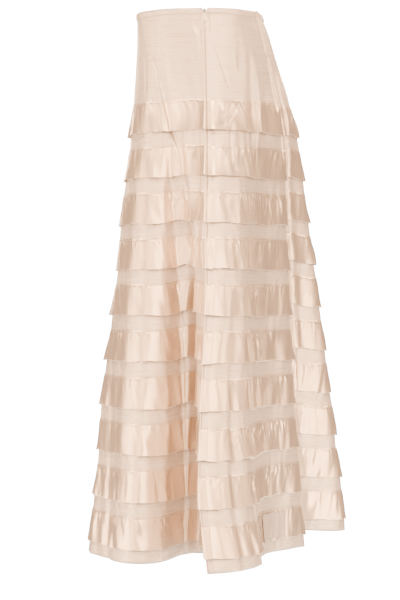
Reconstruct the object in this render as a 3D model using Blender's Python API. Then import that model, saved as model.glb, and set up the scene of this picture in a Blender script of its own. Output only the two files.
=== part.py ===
"""A long flared skirt with ten tiers of satin ribbon, held open as it is worn.

Metres, +Z up. The origin is the centre of the waist's top edge. The wearer faces -Y, so the front panel is on
the -Y side and the wearer's left side seam, with its zip, is on the +X side. The skirt hangs down from Z = 0.

The cloth is one closed surface. At each depth below the waist it is a smooth ring, the body ring, from which
fold lines lead out and in. Every piece of cloth is made from points of that surface, moved in or out.
"""

import functools
import math
from collections import namedtuple

import bmesh
import bpy
import numpy as np
from mathutils import Matrix, Vector

MM = 0.001

# Driving dimensions, in metres
LENGTH = 0.862
PANEL_WALL = 0.0011
RIBBON_WALL = 0.0010
TAPE_WALL = 0.0007
WAIST_TAPE_WALL = 0.0010
WAIST_TAPE_HEIGHT = 0.0095
# The waist's top edge lies this much lower at the sides, fading out over this share of the length
WAIST_DIP = 0.003
WAIST_DIP_SHARE = 1 / 6
SEAM_GAP = 0.0004
LAYER_GAP = 0.0003

TIERS = 10
FIRST_TIER = 0.1477
TIER_PITCH = 0.0717
RIBBON_HEIGHT = 0.049
RIBBON_FLARE = 0.0042
RIBBON_SEAM_GAP = 0.0016

ZIP_TAPE_SET_IN = 0.0004
NOTCH_HALF_WIDTH = 0.0048
NOTCH_DEPTH = 0.018

COLUMN_STEP = 0.028
YOKE_ROWS = (0.0, NOTCH_DEPTH, 0.050, 0.084, 0.117)
HEM_ROWS = (0.831, LENGTH)

# Half the step, down the cloth or round it, over which its directions are taken
FRAME_STEP = 0.0005
# How sharply a fold line leaves the body ring where it starts
SOFT_START = 0.05
# The depth, as a share of the length, over which a lifted part of the hem rises
LIFT_SHARE = 0.5
LIFT_EASE = 1.5
# The side seam's own way back and forth is felt only this near the seam (a power of a sine)
SEAM_NARROWNESS = 8
# Points round the girth at which its length is measured, and how near two shares of it are the same
GIRTH_SAMPLES = 181
SAME_SHARE = 1e-9

# The body ring: its reach to the front, the sides and the back at each depth below the waist, and how far
# behind the middle the left side seam lies there
Ring = namedtuple("Ring", "below front side back seam")
RINGS = (
    Ring(below=0.000, front=0.1016, side=0.130, back=0.1016, seam=0.0070),
    Ring(below=0.070, front=0.1030, side=0.140, back=0.1270, seam=0.0090),
    Ring(below=0.160, front=0.1085, side=0.152, back=0.1510, seam=0.0110),
    Ring(below=0.300, front=0.1235, side=0.172, back=0.1630, seam=0.0115),
    Ring(below=0.500, front=0.1435, side=0.203, back=0.1790, seam=0.0090),
    Ring(below=0.620, front=0.1555, side=0.221, back=0.1900, seam=0.0030),
    Ring(below=0.760, front=0.1690, side=0.240, back=0.2050, seam=0.0010),
    Ring(below=0.862, front=0.1815, side=0.252, back=0.2150, seam=0.0125),
)

# The fold lines, round the hem from the centre front over the wearer's left. x and y are the line's place at
# the hem and lift its rise there, in millimetres. start is the share of the length at which it leaves the
# body ring. out and sweep say how it then grows across and along: 1 is even, more is late, less is early.
Fold = namedtuple("Fold", "name x y start out sweep lift")
FOLDS = (
    Fold("front centre", 0, -181, 0.00, 1.0, 1.00, 0),
    Fold("front left", 62, -170, 0.00, 1.0, 1.00, 0),
    Fold("front lobe side", 128, -148, 0.00, 1.0, 1.00, 0),
    Fold("front lobe shoulder", 187, -126, 0.00, 1.1, 1.00, 0),
    Fold("front lobe tip", 216, -98, 0.00, 1.1, 0.95, 0),
    Fold("front lobe back", 206, -68, 0.00, 1.1, 0.90, 0),
    Fold("side valley slope", 166, -44, 0.05, 1.0, 0.80, 3),
    Fold("side valley edge", 132, -20, 0.07, 0.9, 0.72, 7),
    Fold("side valley", 142, -2, 0.09, 0.9, 0.66, 9),
    Fold("side valley wall", 200, 6, 0.07, 1.0, 0.80, 7),
    Fold("side lobe edge", 282, 11, 0.00, 1.2, 1.00, 3),
    Fold("left seam", 349, 12, 0.00, 1.3, 1.00, 0),
    Fold("side lobe", 340, 38, 0.00, 1.3, 1.00, 0),
    Fold("side lobe round", 307, 65, 0.00, 1.3, 1.00, 0),
    Fold("side lobe corner", 258, 86, 0.00, 1.3, 1.00, 0),
    Fold("back hollow start", 180, 94, 0.00, 1.3, 1.00, 0),
    Fold("back hollow", 106, 97, 0.00, 1.3, 1.00, 0),
    Fold("back rise", 60, 107, 0.00, 1.2, 1.00, 0),
    Fold("back flank", 4, 137, 0.00, 1.1, 0.90, 0),
    Fold("back fold", -46, 166, 0.00, 1.0, 0.75, 0),
    Fold("back fold edge", -68, 171, 0.00, 0.9, 0.70, 0),
    Fold("back fold turn", -82, 150, 0.00, 0.9, 0.70, 4),
    Fold("back valley side", -80, 110, 0.00, 0.9, 0.60, 9),
    Fold("back valley", -100, 90, 0.00, 0.9, 0.70, 14),
    Fold("back valley far side", -126, 108, 0.00, 0.9, 0.80, 18),
    Fold("centre back", -130, 150, 0.00, 1.0, 1.00, 20),
    Fold("far lobe side", -148, 194, 0.00, 1.0, 0.70, 17),
    Fold("far lobe shoulder", -184, 232, 0.00, 1.0, 0.60, 13),
    Fold("far lobe tip", -222, 247, 0.00, 1.0, 0.60, 12),
    Fold("far lobe turn", -258, 230, 0.00, 1.0, 0.65, 11),
    Fold("far lobe return", -266, 186, 0.00, 1.0, 0.80, 9),
    Fold("far valley side", -246, 136, 0.00, 1.0, 1.00, 7),
    Fold("far valley", -226, 100, 0.00, 1.1, 1.00, 5),
    Fold("right lobe slope", -256, 72, 0.00, 1.2, 1.00, 4),
    Fold("right lobe side", -306, 66, 0.00, 1.2, 1.00, 2),
    Fold("right lobe tip", -343, 45, 0.00, 1.2, 1.00, 0),
    Fold("right seam", -345, 8, 0.00, 1.2, 1.00, 0),
    Fold("right lobe turn", -322, -20, 0.00, 1.2, 1.00, 0),
    Fold("right valley slope", -270, -27, 0.00, 1.2, 1.00, 3),
    Fold("right valley", -232, -40, 0.00, 1.1, 1.00, 5),
    Fold("right valley edge", -224, -68, 0.00, 1.1, 1.00, 3),
    Fold("right front lobe back", -246, -98, 0.00, 1.1, 1.00, 0),
    Fold("right front lobe tip", -252, -132, 0.00, 1.1, 1.00, 0),
    Fold("right front lobe", -222, -157, 0.00, 1.1, 1.00, 0),
    Fold("front hollow side", -172, -160, 0.00, 1.1, 1.00, 0),
    Fold("front hollow", -120, -154, 0.00, 1.1, 1.00, 0),
    Fold("front right", -62, -169, 0.00, 1.0, 1.00, 0),
)
# These lines lie at 0, a quarter, a half and three quarters of the girth
QUARTER_LINES = ("front centre", "left seam", "centre back", "right seam")
LEFT_SEAM = 0.25
RIGHT_SEAM = 0.75

# The zip's slider and pull tab, at the top of the left seam. Heights are from the cloth's outer face.
SLIDER_TOP = 0.0010
SLIDER_LENGTH = 0.0085
SLIDER_WIDTH = 0.0042
SLIDER_BACK = -0.0014
SLIDER_FRONT = 0.0004
SLIDER_EDGE = 0.0004
BRIDGE_WIRE = 0.00045
BRIDGE_TOP = 0.0020
BRIDGE_BOTTOM = 0.0080
BRIDGE_HEIGHT = 0.0030
BRIDGE_STEPS = 6
TAB_AXIS_BELOW = 0.0048
TAB_AXIS_OUT = 0.0014
TAB_LENGTH = 0.0165
TAB_WIDTH = 0.0048
TAB_NECK = 0.0034
TAB_THICKNESS = 0.0010
TAB_BAR = 0.0006
TAB_SLOT_END = 0.0043
TAB_SLOT_WIDTH = 0.0018
TAB_END_STEPS = 10
TAB_SHARP_ANGLE = math.radians(35)


def fold_shares():
    """Share of the girth at each fold line, from the run of the hem within each quarter."""
    hem = np.array([(fold.x, fold.y) for fold in FOLDS], float) * MM
    steps = np.linalg.norm(np.roll(hem, -1, axis=0) - hem, axis=1)
    names = [fold.name for fold in FOLDS]
    stops = [names.index(name) for name in QUARTER_LINES] + [len(FOLDS)]
    shares = np.zeros(len(FOLDS) + 1)
    for quarter, (first, last) in enumerate(zip(stops, stops[1:])):
        run = np.concatenate([[0.0], np.cumsum(steps[first:last])])
        shares[first : last + 1] = (quarter + run / run[-1]) / 4
    return hem, shares, steps


HEM, SHARES, HEM_STEPS = fold_shares()


def closed_spline(knots):
    """The bends of the smooth closed curve through one value at each knot, as a matrix on those values."""
    count = len(knots) - 1
    width = np.diff(knots)
    left = np.zeros((count, count))
    right = np.zeros((count, count))
    for i in range(count):
        before = width[i - 1]
        after = width[i]
        following = (i + 1) % count
        left[i, i - 1] += before / 6
        left[i, i] += (before + after) / 3
        left[i, following] += after / 6
        right[i, i - 1] += 1 / before
        right[i, i] -= 1 / before + 1 / after
        right[i, following] += 1 / after
    return np.linalg.solve(left, right)


BENDS = closed_spline(SHARES)


def fold_weights(share):
    """How much each fold line counts at a share of the girth."""
    share = share % 1.0
    first = min(int(np.searchsorted(SHARES, share, side="right")) - 1, len(FOLDS) - 1)
    second = (first + 1) % len(FOLDS)
    width = SHARES[first + 1] - SHARES[first]
    to_second = (share - SHARES[first]) / width
    to_first = 1 - to_second
    weights = np.zeros(len(FOLDS))
    weights[first] += to_first
    weights[second] += to_second
    weights += (to_first**3 - to_first) * BENDS[first] * width**2 / 6
    weights += (to_second**3 - to_second) * BENDS[second] * width**2 / 6
    return weights


def ring_value(column, below):
    """One column of RINGS at a depth, on a smooth curve through its rows."""
    at = np.array([ring.below for ring in RINGS])
    values = np.array([getattr(ring, column) for ring in RINGS])
    width = np.diff(at)
    rise = np.diff(values) / width
    slopes = np.concatenate([[rise[0]], np.zeros(len(at) - 2), [rise[-1]]])
    slopes[1:-1] = (rise[:-1] * width[1:] + rise[1:] * width[:-1]) / (width[1:] + width[:-1])
    i = int(np.clip(np.searchsorted(at, below, side="right") - 1, 0, len(width) - 1))
    t = (below - at[i]) / width[i]
    start = (1 + 2 * t) * (1 - t) ** 2 * values[i] + t * (1 - t) ** 2 * width[i] * slopes[i]
    end = t**2 * (3 - 2 * t) * values[i + 1] - t**2 * (1 - t) * width[i] * slopes[i + 1]
    return start + end


def body_ring(below):
    """X and Y of each fold line on the body ring at a depth."""
    turn = 2 * np.pi * SHARES[:-1]
    forward = np.cos(turn)
    reach = np.where(forward > 0, ring_value("front", below), ring_value("back", below))
    seam = ring_value("seam", below) * np.maximum(np.sin(turn), 0) ** SEAM_NARROWNESS
    return np.stack([ring_value("side", below) * np.sin(turn), seam - reach * forward], axis=1)


def grown(share, ease):
    """A growth from 0 to 1: late for an ease over 1, and early for one under 1."""
    return share**ease if ease >= 1 else 1 - (1 - share) ** (1 / ease)


@functools.lru_cache(maxsize=None)
def fold_points(below):
    """The fold lines' points at a depth below the waist, measured down the cloth."""
    share = below / LENGTH
    points = np.zeros((len(FOLDS), 3))
    flat = body_ring(below)
    full = HEM - body_ring(LENGTH)
    for i, fold in enumerate(FOLDS):
        past = (share - fold.start) / (1 - fold.start)
        growth = (past + math.hypot(past, SOFT_START)) / (1 + math.hypot(1, SOFT_START))
        points[i, 0] = flat[i, 0] + full[i, 0] * grown(growth, fold.out)
        points[i, 1] = flat[i, 1] + full[i, 1] * grown(growth, fold.sweep)
        rise = fold.lift * MM * min(1.0, share / LIFT_SHARE) ** LIFT_EASE
        dip = WAIST_DIP * math.sin(2 * math.pi * SHARES[i]) ** 2 * max(0.0, 1 - share / WAIST_DIP_SHARE)
        points[i, 2] = rise - dip - below
    return points


def cloth_point(share, below):
    """A point of the cloth's outer face."""
    return fold_weights(share) @ fold_points(below)


def cloth_frame(share, below):
    """A point of the cloth's outer face, with the outward, downward and sideways directions there."""
    point = cloth_point(share, below)
    above = max(0.0, below - FRAME_STEP)
    under = min(LENGTH, below + FRAME_STEP)
    down = cloth_point(share, under) - cloth_point(share, above)
    round_it = cloth_point(share + FRAME_STEP, below) - cloth_point(share - FRAME_STEP, below)
    outward = np.cross(down, round_it)
    outward /= np.linalg.norm(outward)
    down /= np.linalg.norm(down)
    return point, outward, down, np.cross(outward, down)


@functools.lru_cache(maxsize=None)
def girth(below):
    """Length of the cloth round the body at a depth."""
    around = [cloth_point(share, below) for share in np.linspace(0, 1, GIRTH_SAMPLES)]
    return float(np.linalg.norm(np.diff(around, axis=0), axis=1).sum())


def panel_columns(first, last):
    """Shares of the girth from one seam to the other, closer together where fold lines are."""
    stops = np.concatenate([SHARES[:-1], SHARES + 1])
    steps = np.concatenate([HEM_STEPS, HEM_STEPS, HEM_STEPS[:1]])
    columns = []
    for i in range(len(stops) - 1):
        if stops[i] < first - SAME_SHARE or stops[i + 1] > last + SAME_SHARE:
            continue
        pieces = max(1, round(steps[i] / COLUMN_STEP))
        columns.extend(stops[i] + (stops[i + 1] - stops[i]) * np.arange(pieces) / pieces)
    columns.append(last)
    return columns


FRONT_COLUMNS = panel_columns(RIGHT_SEAM, LEFT_SEAM + 1)
BACK_COLUMNS = panel_columns(LEFT_SEAM, RIGHT_SEAM)
PANEL_ROWS = YOKE_ROWS + tuple(FIRST_TIER + TIER_PITCH * tier for tier in range(TIERS)) + HEM_ROWS


def material(name, colour, roughness, metallic=0.0):
    made = bpy.data.materials.new(name)
    made.use_nodes = True
    shader = made.node_tree.nodes["Principled BSDF"]
    shader.inputs["Base Color"].default_value = (*colour, 1.0)
    shader.inputs["Roughness"].default_value = roughness
    shader.inputs["Metallic"].default_value = metallic
    return made


def add_object(name, mesh, surface):
    mesh.materials.append(surface)
    mesh.shade_smooth()
    made = bpy.data.objects.new(name, mesh)
    bpy.context.scene.collection.objects.link(made)
    return made


def cloth_piece(name, rows, outer, inner, surface):
    """A closed wall of cloth. rows holds points of the cloth's outer face with their outward directions, and
    outer and inner are the heights of the wall's two faces over those points, one value for each row."""
    mesh = bpy.data.meshes.new(name)
    form = bmesh.new()
    skins = ([], [])
    for row, heights in zip(rows, zip(outer, inner)):
        for skin, height in zip(skins, heights):
            skin.append([form.verts.new(point + outward * height) for point, outward in row])
    last_row = len(rows) - 1
    last_column = len(rows[0]) - 1
    for face_out, skin in zip((True, False), skins):
        for i in range(last_row):
            for j in range(last_column):
                start, end = skin[i][j], skin[i + 1][j + 1]
                for corners in ((start, skin[i + 1][j], end), (start, end, skin[i][j + 1])):
                    form.faces.new(corners if face_out else corners[::-1])
    rims = [[skin[0] for skin in skins], [skin[last_row][::-1] for skin in skins]]
    rims.append([[row[0] for row in skin][::-1] for skin in skins])
    rims.append([[row[last_column] for row in skin] for skin in skins])
    for outside, inside in rims:
        for i in range(len(outside) - 1):
            form.faces.new((outside[i], outside[i + 1], inside[i + 1], inside[i]))
    form.to_mesh(mesh)
    form.free()
    return add_object(name, mesh, surface)


def at_zip(share):
    """Whether a share of the girth is the left seam's, where the zip is."""
    return abs(share % 1.0 - LEFT_SEAM) < SAME_SHARE


def row_at(columns, below, gap):
    """A row of points with their outward directions. Its two ends stay half a gap off their seams, and
    further off where the zip's slider sits."""
    notch = NOTCH_HALF_WIDTH * max(0.0, 1 - below / NOTCH_DEPTH)
    insets = [(gap / 2 + notch * at_zip(end)) / girth(below) for end in (columns[0], columns[-1])]
    shares = [columns[0] + insets[0], *columns[1:-1], columns[-1] - insets[1]]
    return [cloth_frame(share, below)[:2] for share in shares]


def add_panel(name, columns, surface):
    """A panel from the waist's top edge to the hem."""
    rows = [row_at(columns, below, SEAM_GAP) for below in PANEL_ROWS]
    cloth_piece(name, rows, [0.0] * len(rows), [-PANEL_WALL] * len(rows), surface)


def add_waist_tape(name, columns, surface):
    """The narrow tape over the panel's top edge. It stops either side of the zip's slider."""
    rows = [row_at(columns, below, SEAM_GAP) for below in (0.0, WAIST_TAPE_HEIGHT)]
    outer = LAYER_GAP + WAIST_TAPE_WALL
    cloth_piece(name, rows, (outer, outer), (LAYER_GAP, LAYER_GAP), surface)


def add_ribbon(name, columns, tier, surface):
    """One length of ribbon: sewn down along its top edge, and standing off the panel along its lower one."""
    top = FIRST_TIER + TIER_PITCH * tier
    rows = [row_at(columns, below, RIBBON_SEAM_GAP) for below in (top, top + RIBBON_HEIGHT)]
    inner = (LAYER_GAP, RIBBON_FLARE)
    outer = [height + RIBBON_WALL for height in inner]
    cloth_piece(name, rows, outer, inner, surface)


def add_zip_tape(name, columns, surface):
    """Half of the zip's tape, inside the panel's edge, as wide as the panel's strip at the seam."""
    rows = []
    for below in PANEL_ROWS[: len(YOKE_ROWS) + 2]:
        inset = SEAM_GAP / 2 / girth(below)
        shares = [columns[0] + inset * at_zip(columns[0]), columns[1] - inset * at_zip(columns[1])]
        rows.append([cloth_frame(share, below)[:2] for share in shares])
    outer = -PANEL_WALL - ZIP_TAPE_SET_IN
    cloth_piece(name, rows, [outer] * len(rows), [outer - TAPE_WALL] * len(rows), surface)


def zip_frame(below, out):
    """Place and turn of a piece on the zip: X is outward, Y to the back and Z up along the seam."""
    point, outward, down, sideways = cloth_frame(LEFT_SEAM, below)
    turn = Matrix((outward, sideways, -down)).transposed()
    place = Vector(point) + Vector(outward) * out
    return Matrix.Translation(place) @ turn.to_4x4()


def add_slider(surface):
    """The slider's body with the wire bridge that the pull tab hangs from."""
    mesh = bpy.data.meshes.new("zip_slider")
    form = bmesh.new()
    centre = Vector(((SLIDER_BACK + SLIDER_FRONT) / 2, 0.0, -SLIDER_TOP - SLIDER_LENGTH / 2))
    size = (SLIDER_FRONT - SLIDER_BACK, SLIDER_WIDTH, SLIDER_LENGTH)
    box = Matrix.Translation(centre) @ Matrix.Diagonal((*size, 1.0))
    bmesh.ops.create_cube(form, size=1.0, matrix=box)
    bmesh.ops.bevel(form, geom=form.edges[:], offset=SLIDER_EDGE, segments=2, affect="EDGES", profile=0.5)
    form.to_mesh(mesh)
    form.free()
    slider = add_object("zip_slider", mesh, surface)
    slider.matrix_world = zip_frame(0.0, 0.0)

    wire = bpy.data.curves.new("bridge", "CURVE")
    wire.dimensions = "3D"
    wire.bevel_depth = BRIDGE_WIRE
    wire.bevel_resolution = 1
    wire.use_fill_caps = True
    middle = (BRIDGE_TOP + BRIDGE_BOTTOM) / 2
    half = (BRIDGE_BOTTOM - BRIDGE_TOP) / 2
    foot = centre.x
    path = [(foot, 0.0, -BRIDGE_TOP)]
    for i in range(BRIDGE_STEPS + 1):
        angle = math.pi * i / BRIDGE_STEPS
        rise = SLIDER_FRONT + (BRIDGE_HEIGHT - SLIDER_FRONT) * math.sin(angle) ** 0.5
        path.append((rise, 0.0, -middle + half * math.cos(angle)))
    path.append((foot, 0.0, -BRIDGE_BOTTOM))
    line = wire.splines.new("POLY")
    line.points.add(len(path) - 1)
    for point, place in zip(line.points, path):
        point.co = (*place, 1.0)
    loop = bpy.data.objects.new("bridge", wire)
    bpy.context.scene.collection.objects.link(loop)
    loop.matrix_world = slider.matrix_world
    bpy.context.view_layer.update()
    shape = loop.evaluated_get(bpy.context.evaluated_depsgraph_get())
    cutter = bpy.data.objects.new("bridge_mesh", bpy.data.meshes.new_from_object(shape))
    bpy.context.scene.collection.objects.link(cutter)
    cutter.matrix_world = slider.matrix_world
    bpy.data.objects.remove(loop)
    cutter.hide_render = True
    cutter.display_type = "WIRE"
    join = slider.modifiers.new("bridge", "BOOLEAN")
    join.operation = "UNION"
    join.object = cutter


def add_pull_tab(surface):
    """The tab: a bar under the bridge, two arms past its foot, and a plate that widens to a round end.

    Its origin is on the axis it swings about, which runs across the seam under the bridge.
    """
    half_neck = TAB_NECK / 2
    half_wide = TAB_WIDTH / 2
    round_end = TAB_LENGTH - half_wide
    outline = [(-half_neck, TAB_BAR), (-half_neck, -TAB_SLOT_END)]
    for i in range(TAB_END_STEPS + 1):
        angle = math.pi + math.pi * i / TAB_END_STEPS
        outline.append((half_wide * math.cos(angle), -round_end + half_wide * math.sin(angle)))
    outline += [(half_neck, -TAB_SLOT_END), (half_neck, TAB_BAR)]
    half_slot = TAB_SLOT_WIDTH / 2
    slot = [
        (-half_slot, -TAB_BAR),
        (-half_slot, -TAB_SLOT_END),
        (half_slot, -TAB_SLOT_END),
        (half_slot, -TAB_BAR),
    ]
    mesh = bpy.data.meshes.new("zip_pull_tab")
    form = bmesh.new()
    edges = []
    for loop in (outline, slot):
        corners = [form.verts.new((-TAB_THICKNESS / 2, y, z)) for y, z in loop]
        for i, corner in enumerate(corners):
            edges.append(form.edges.new((corner, corners[(i + 1) % len(corners)])))
    filled = bmesh.ops.triangle_fill(form, edges=edges, use_beauty=True, use_dissolve=False)
    faces = [item for item in filled["geom"] if isinstance(item, bmesh.types.BMFace)]
    risen = bmesh.ops.extrude_face_region(form, geom=faces)
    tops = [item for item in risen["geom"] if isinstance(item, bmesh.types.BMVert)]
    bmesh.ops.translate(form, verts=tops, vec=(TAB_THICKNESS, 0, 0))
    bmesh.ops.recalc_face_normals(form, faces=form.faces[:])
    form.to_mesh(mesh)
    form.free()
    tab = add_object("zip_pull_tab", mesh, surface)
    tab.matrix_world = zip_frame(TAB_AXIS_BELOW, TAB_AXIS_OUT)
    tab.data.set_sharp_from_angle(angle=TAB_SHARP_ANGLE)


def main():
    for old in list(bpy.data.objects):
        bpy.data.objects.remove(old)
    taffeta = material("taffeta", (0.80, 0.68, 0.60), 0.62)
    satin = material("satin", (0.76, 0.62, 0.51), 0.36)
    tape = material("zip_tape", (0.82, 0.74, 0.66), 0.80)
    metal = material("slider_metal", (0.50, 0.50, 0.50), 0.35, 0.9)
    enamel = material("tab_enamel", (0.83, 0.75, 0.66), 0.40)
    sides = (("front", FRONT_COLUMNS), ("back", BACK_COLUMNS))
    for side, columns in sides:
        add_panel(side + "_panel", columns, taffeta)
        add_waist_tape("waist_tape_" + side, columns, taffeta)
        for tier in range(TIERS):
            add_ribbon(f"ribbon_{tier + 1:02d}_{side}", columns, tier, satin)
    add_zip_tape("zip_tape_front", FRONT_COLUMNS[-2:], tape)
    add_zip_tape("zip_tape_back", BACK_COLUMNS[:2], tape)
    add_slider(metal)
    add_pull_tab(enamel)


main()
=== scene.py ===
"""A long flared skirt of slubbed taffeta with ten tiers of satin ribbon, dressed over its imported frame.

Metres, +Z up. The origin is the centre of the waist's top edge. The wearer faces -Y, and the wearer's left
side seam, with its zip, is on the +X side. Places on the cloth are given by two numbers: how far round it
they lie from the left seam, over to the back for plus and to the front for minus, and how far below the
waist.
"""

import math
from collections import namedtuple

import bpy
import numpy as np
from bpy.props import FloatProperty, FloatVectorProperty, PointerProperty
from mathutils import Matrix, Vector


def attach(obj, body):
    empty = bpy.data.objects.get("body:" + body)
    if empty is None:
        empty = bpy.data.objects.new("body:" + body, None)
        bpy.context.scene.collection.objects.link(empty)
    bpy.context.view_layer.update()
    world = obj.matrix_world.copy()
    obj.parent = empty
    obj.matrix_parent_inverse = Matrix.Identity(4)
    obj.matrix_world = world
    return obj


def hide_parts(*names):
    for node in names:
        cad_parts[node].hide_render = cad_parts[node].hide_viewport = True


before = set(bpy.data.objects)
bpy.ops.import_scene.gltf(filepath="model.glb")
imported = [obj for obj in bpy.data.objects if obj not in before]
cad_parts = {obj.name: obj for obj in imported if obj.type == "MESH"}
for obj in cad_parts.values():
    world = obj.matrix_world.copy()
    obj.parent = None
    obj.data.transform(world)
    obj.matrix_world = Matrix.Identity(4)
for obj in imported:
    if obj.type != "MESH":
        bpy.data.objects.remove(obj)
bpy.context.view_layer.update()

bl_info = {
    "name": "Ribbon Tier Skirt",
    "version": (1, 0, 0),
    "blender": (4, 5, 0),
    "location": "View3D > Sidebar > Skirt",
    "description": "Makes the cloth, ribbons, sewing and zip of a tiered skirt",
    "category": "Object",
}

MM = 0.001

# The skirt's own sizes, as its solids have them
LENGTH = 0.862
WAIST_DIP = 0.003
WAIST_DIP_SHARE = 1 / 6
SEAM_GAP = 0.0004
TIERS = 10
FIRST_TIER = 0.1477
TIER_PITCH = 0.0717
RIBBON_HEIGHT = 0.049
RIBBON_FLARE = 0.0030
LIFTED_EDGE = 0.0038
NOTCH_HALF_WIDTH = 0.0042
NOTCH_DEPTH = 0.018
SOFT_START = 0.05
LIFT_SHARE = 0.5
LIFT_EASE = 1.5
SEAM_NARROWNESS = 8
LEFT_SEAM = 0.25
RIGHT_SEAM = 0.75
ZIP_END = 0.2190

# How finely the cloth is laid out, and the half step over which its directions are taken
PANEL_COLUMNS = 380
PANEL_ROW = 0.0048
RIBBON_COLUMN = 0.0017
RIBBON_ROWS = 15
FRAME_STEP = 0.0005

# The body ring: its reach to the front, the sides and the back at each depth below the waist, and how far
# behind the middle the left side seam lies there
Ring = namedtuple("Ring", "below front side back seam")
RINGS = (
    Ring(below=0.000, front=0.1016, side=0.130, back=0.1016, seam=0.0070),
    Ring(below=0.070, front=0.1030, side=0.140, back=0.1270, seam=0.0090),
    Ring(below=0.160, front=0.1085, side=0.152, back=0.1510, seam=0.0110),
    Ring(below=0.300, front=0.1235, side=0.172, back=0.1630, seam=0.0115),
    Ring(below=0.500, front=0.1435, side=0.203, back=0.1790, seam=0.0090),
    Ring(below=0.620, front=0.1555, side=0.221, back=0.1900, seam=0.0030),
    Ring(below=0.760, front=0.1690, side=0.240, back=0.2050, seam=0.0010),
    Ring(below=0.862, front=0.1815, side=0.252, back=0.2150, seam=0.0125),
)

# The fold lines, round the hem from the centre front over the wearer's left. x and y are the line's place
# at the hem and lift its rise there, in millimetres. start is the share of the length at which it leaves the
# body ring. out and sweep say how it then grows across and along: 1 is even, more is late, less is early.
Fold = namedtuple("Fold", "name x y start out sweep lift")
FOLDS = (
    Fold("front centre", 0, -181, 0.00, 1.0, 1.00, 0),
    Fold("front left", 62, -170, 0.00, 1.0, 1.00, 0),
    Fold("front lobe side", 128, -148, 0.00, 1.0, 1.00, 0),
    Fold("front lobe shoulder", 187, -126, 0.00, 1.1, 1.00, 0),
    Fold("front lobe tip", 216, -98, 0.00, 1.1, 0.95, 0),
    Fold("front lobe back", 206, -68, 0.00, 1.1, 0.90, 0),
    Fold("side valley slope", 166, -44, 0.05, 1.0, 0.80, 3),
    Fold("side valley edge", 132, -20, 0.07, 0.9, 0.72, 7),
    Fold("side valley", 142, -2, 0.09, 0.9, 0.66, 9),
    Fold("side valley wall", 200, 6, 0.07, 1.0, 0.80, 7),
    Fold("side lobe edge", 282, 11, 0.00, 1.2, 1.00, 3),
    Fold("left seam", 349, 12, 0.00, 1.3, 1.00, 0),
    Fold("side lobe", 340, 38, 0.00, 1.3, 1.00, 0),
    Fold("side lobe round", 307, 65, 0.00, 1.3, 1.00, 0),
    Fold("side lobe corner", 258, 86, 0.00, 1.3, 1.00, 0),
    Fold("back hollow start", 180, 94, 0.00, 1.3, 1.00, 0),
    Fold("back hollow", 106, 97, 0.00, 1.3, 1.00, 0),
    Fold("back rise", 60, 107, 0.00, 1.2, 1.00, 0),
    Fold("back flank", 4, 137, 0.00, 1.1, 0.90, 0),
    Fold("back fold", -46, 166, 0.00, 1.0, 0.75, 0),
    Fold("back fold edge", -68, 171, 0.00, 0.9, 0.70, 0),
    Fold("back fold turn", -82, 150, 0.00, 0.9, 0.70, 4),
    Fold("back valley side", -80, 110, 0.00, 0.9, 0.60, 9),
    Fold("back valley", -100, 90, 0.00, 0.9, 0.70, 14),
    Fold("back valley far side", -126, 108, 0.00, 0.9, 0.80, 18),
    Fold("centre back", -130, 150, 0.00, 1.0, 1.00, 20),
    Fold("far lobe side", -148, 194, 0.00, 1.0, 0.70, 17),
    Fold("far lobe shoulder", -184, 232, 0.00, 1.0, 0.60, 13),
    Fold("far lobe tip", -222, 247, 0.00, 1.0, 0.60, 12),
    Fold("far lobe turn", -258, 230, 0.00, 1.0, 0.65, 11),
    Fold("far lobe return", -266, 186, 0.00, 1.0, 0.80, 9),
    Fold("far valley side", -246, 136, 0.00, 1.0, 1.00, 7),
    Fold("far valley", -226, 100, 0.00, 1.1, 1.00, 5),
    Fold("right lobe slope", -256, 72, 0.00, 1.2, 1.00, 4),
    Fold("right lobe side", -306, 66, 0.00, 1.2, 1.00, 2),
    Fold("right lobe tip", -343, 45, 0.00, 1.2, 1.00, 0),
    Fold("right seam", -345, 8, 0.00, 1.2, 1.00, 0),
    Fold("right lobe turn", -322, -20, 0.00, 1.2, 1.00, 0),
    Fold("right valley slope", -270, -27, 0.00, 1.2, 1.00, 3),
    Fold("right valley", -232, -40, 0.00, 1.1, 1.00, 5),
    Fold("right valley edge", -224, -68, 0.00, 1.1, 1.00, 3),
    Fold("right front lobe back", -246, -98, 0.00, 1.1, 1.00, 0),
    Fold("right front lobe tip", -252, -132, 0.00, 1.1, 1.00, 0),
    Fold("right front lobe", -222, -157, 0.00, 1.1, 1.00, 0),
    Fold("front hollow side", -172, -160, 0.00, 1.1, 1.00, 0),
    Fold("front hollow", -120, -154, 0.00, 1.1, 1.00, 0),
    Fold("front right", -62, -169, 0.00, 1.0, 1.00, 0),
)
QUARTER_LINES = ("front centre", "left seam", "centre back", "right seam")

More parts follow.
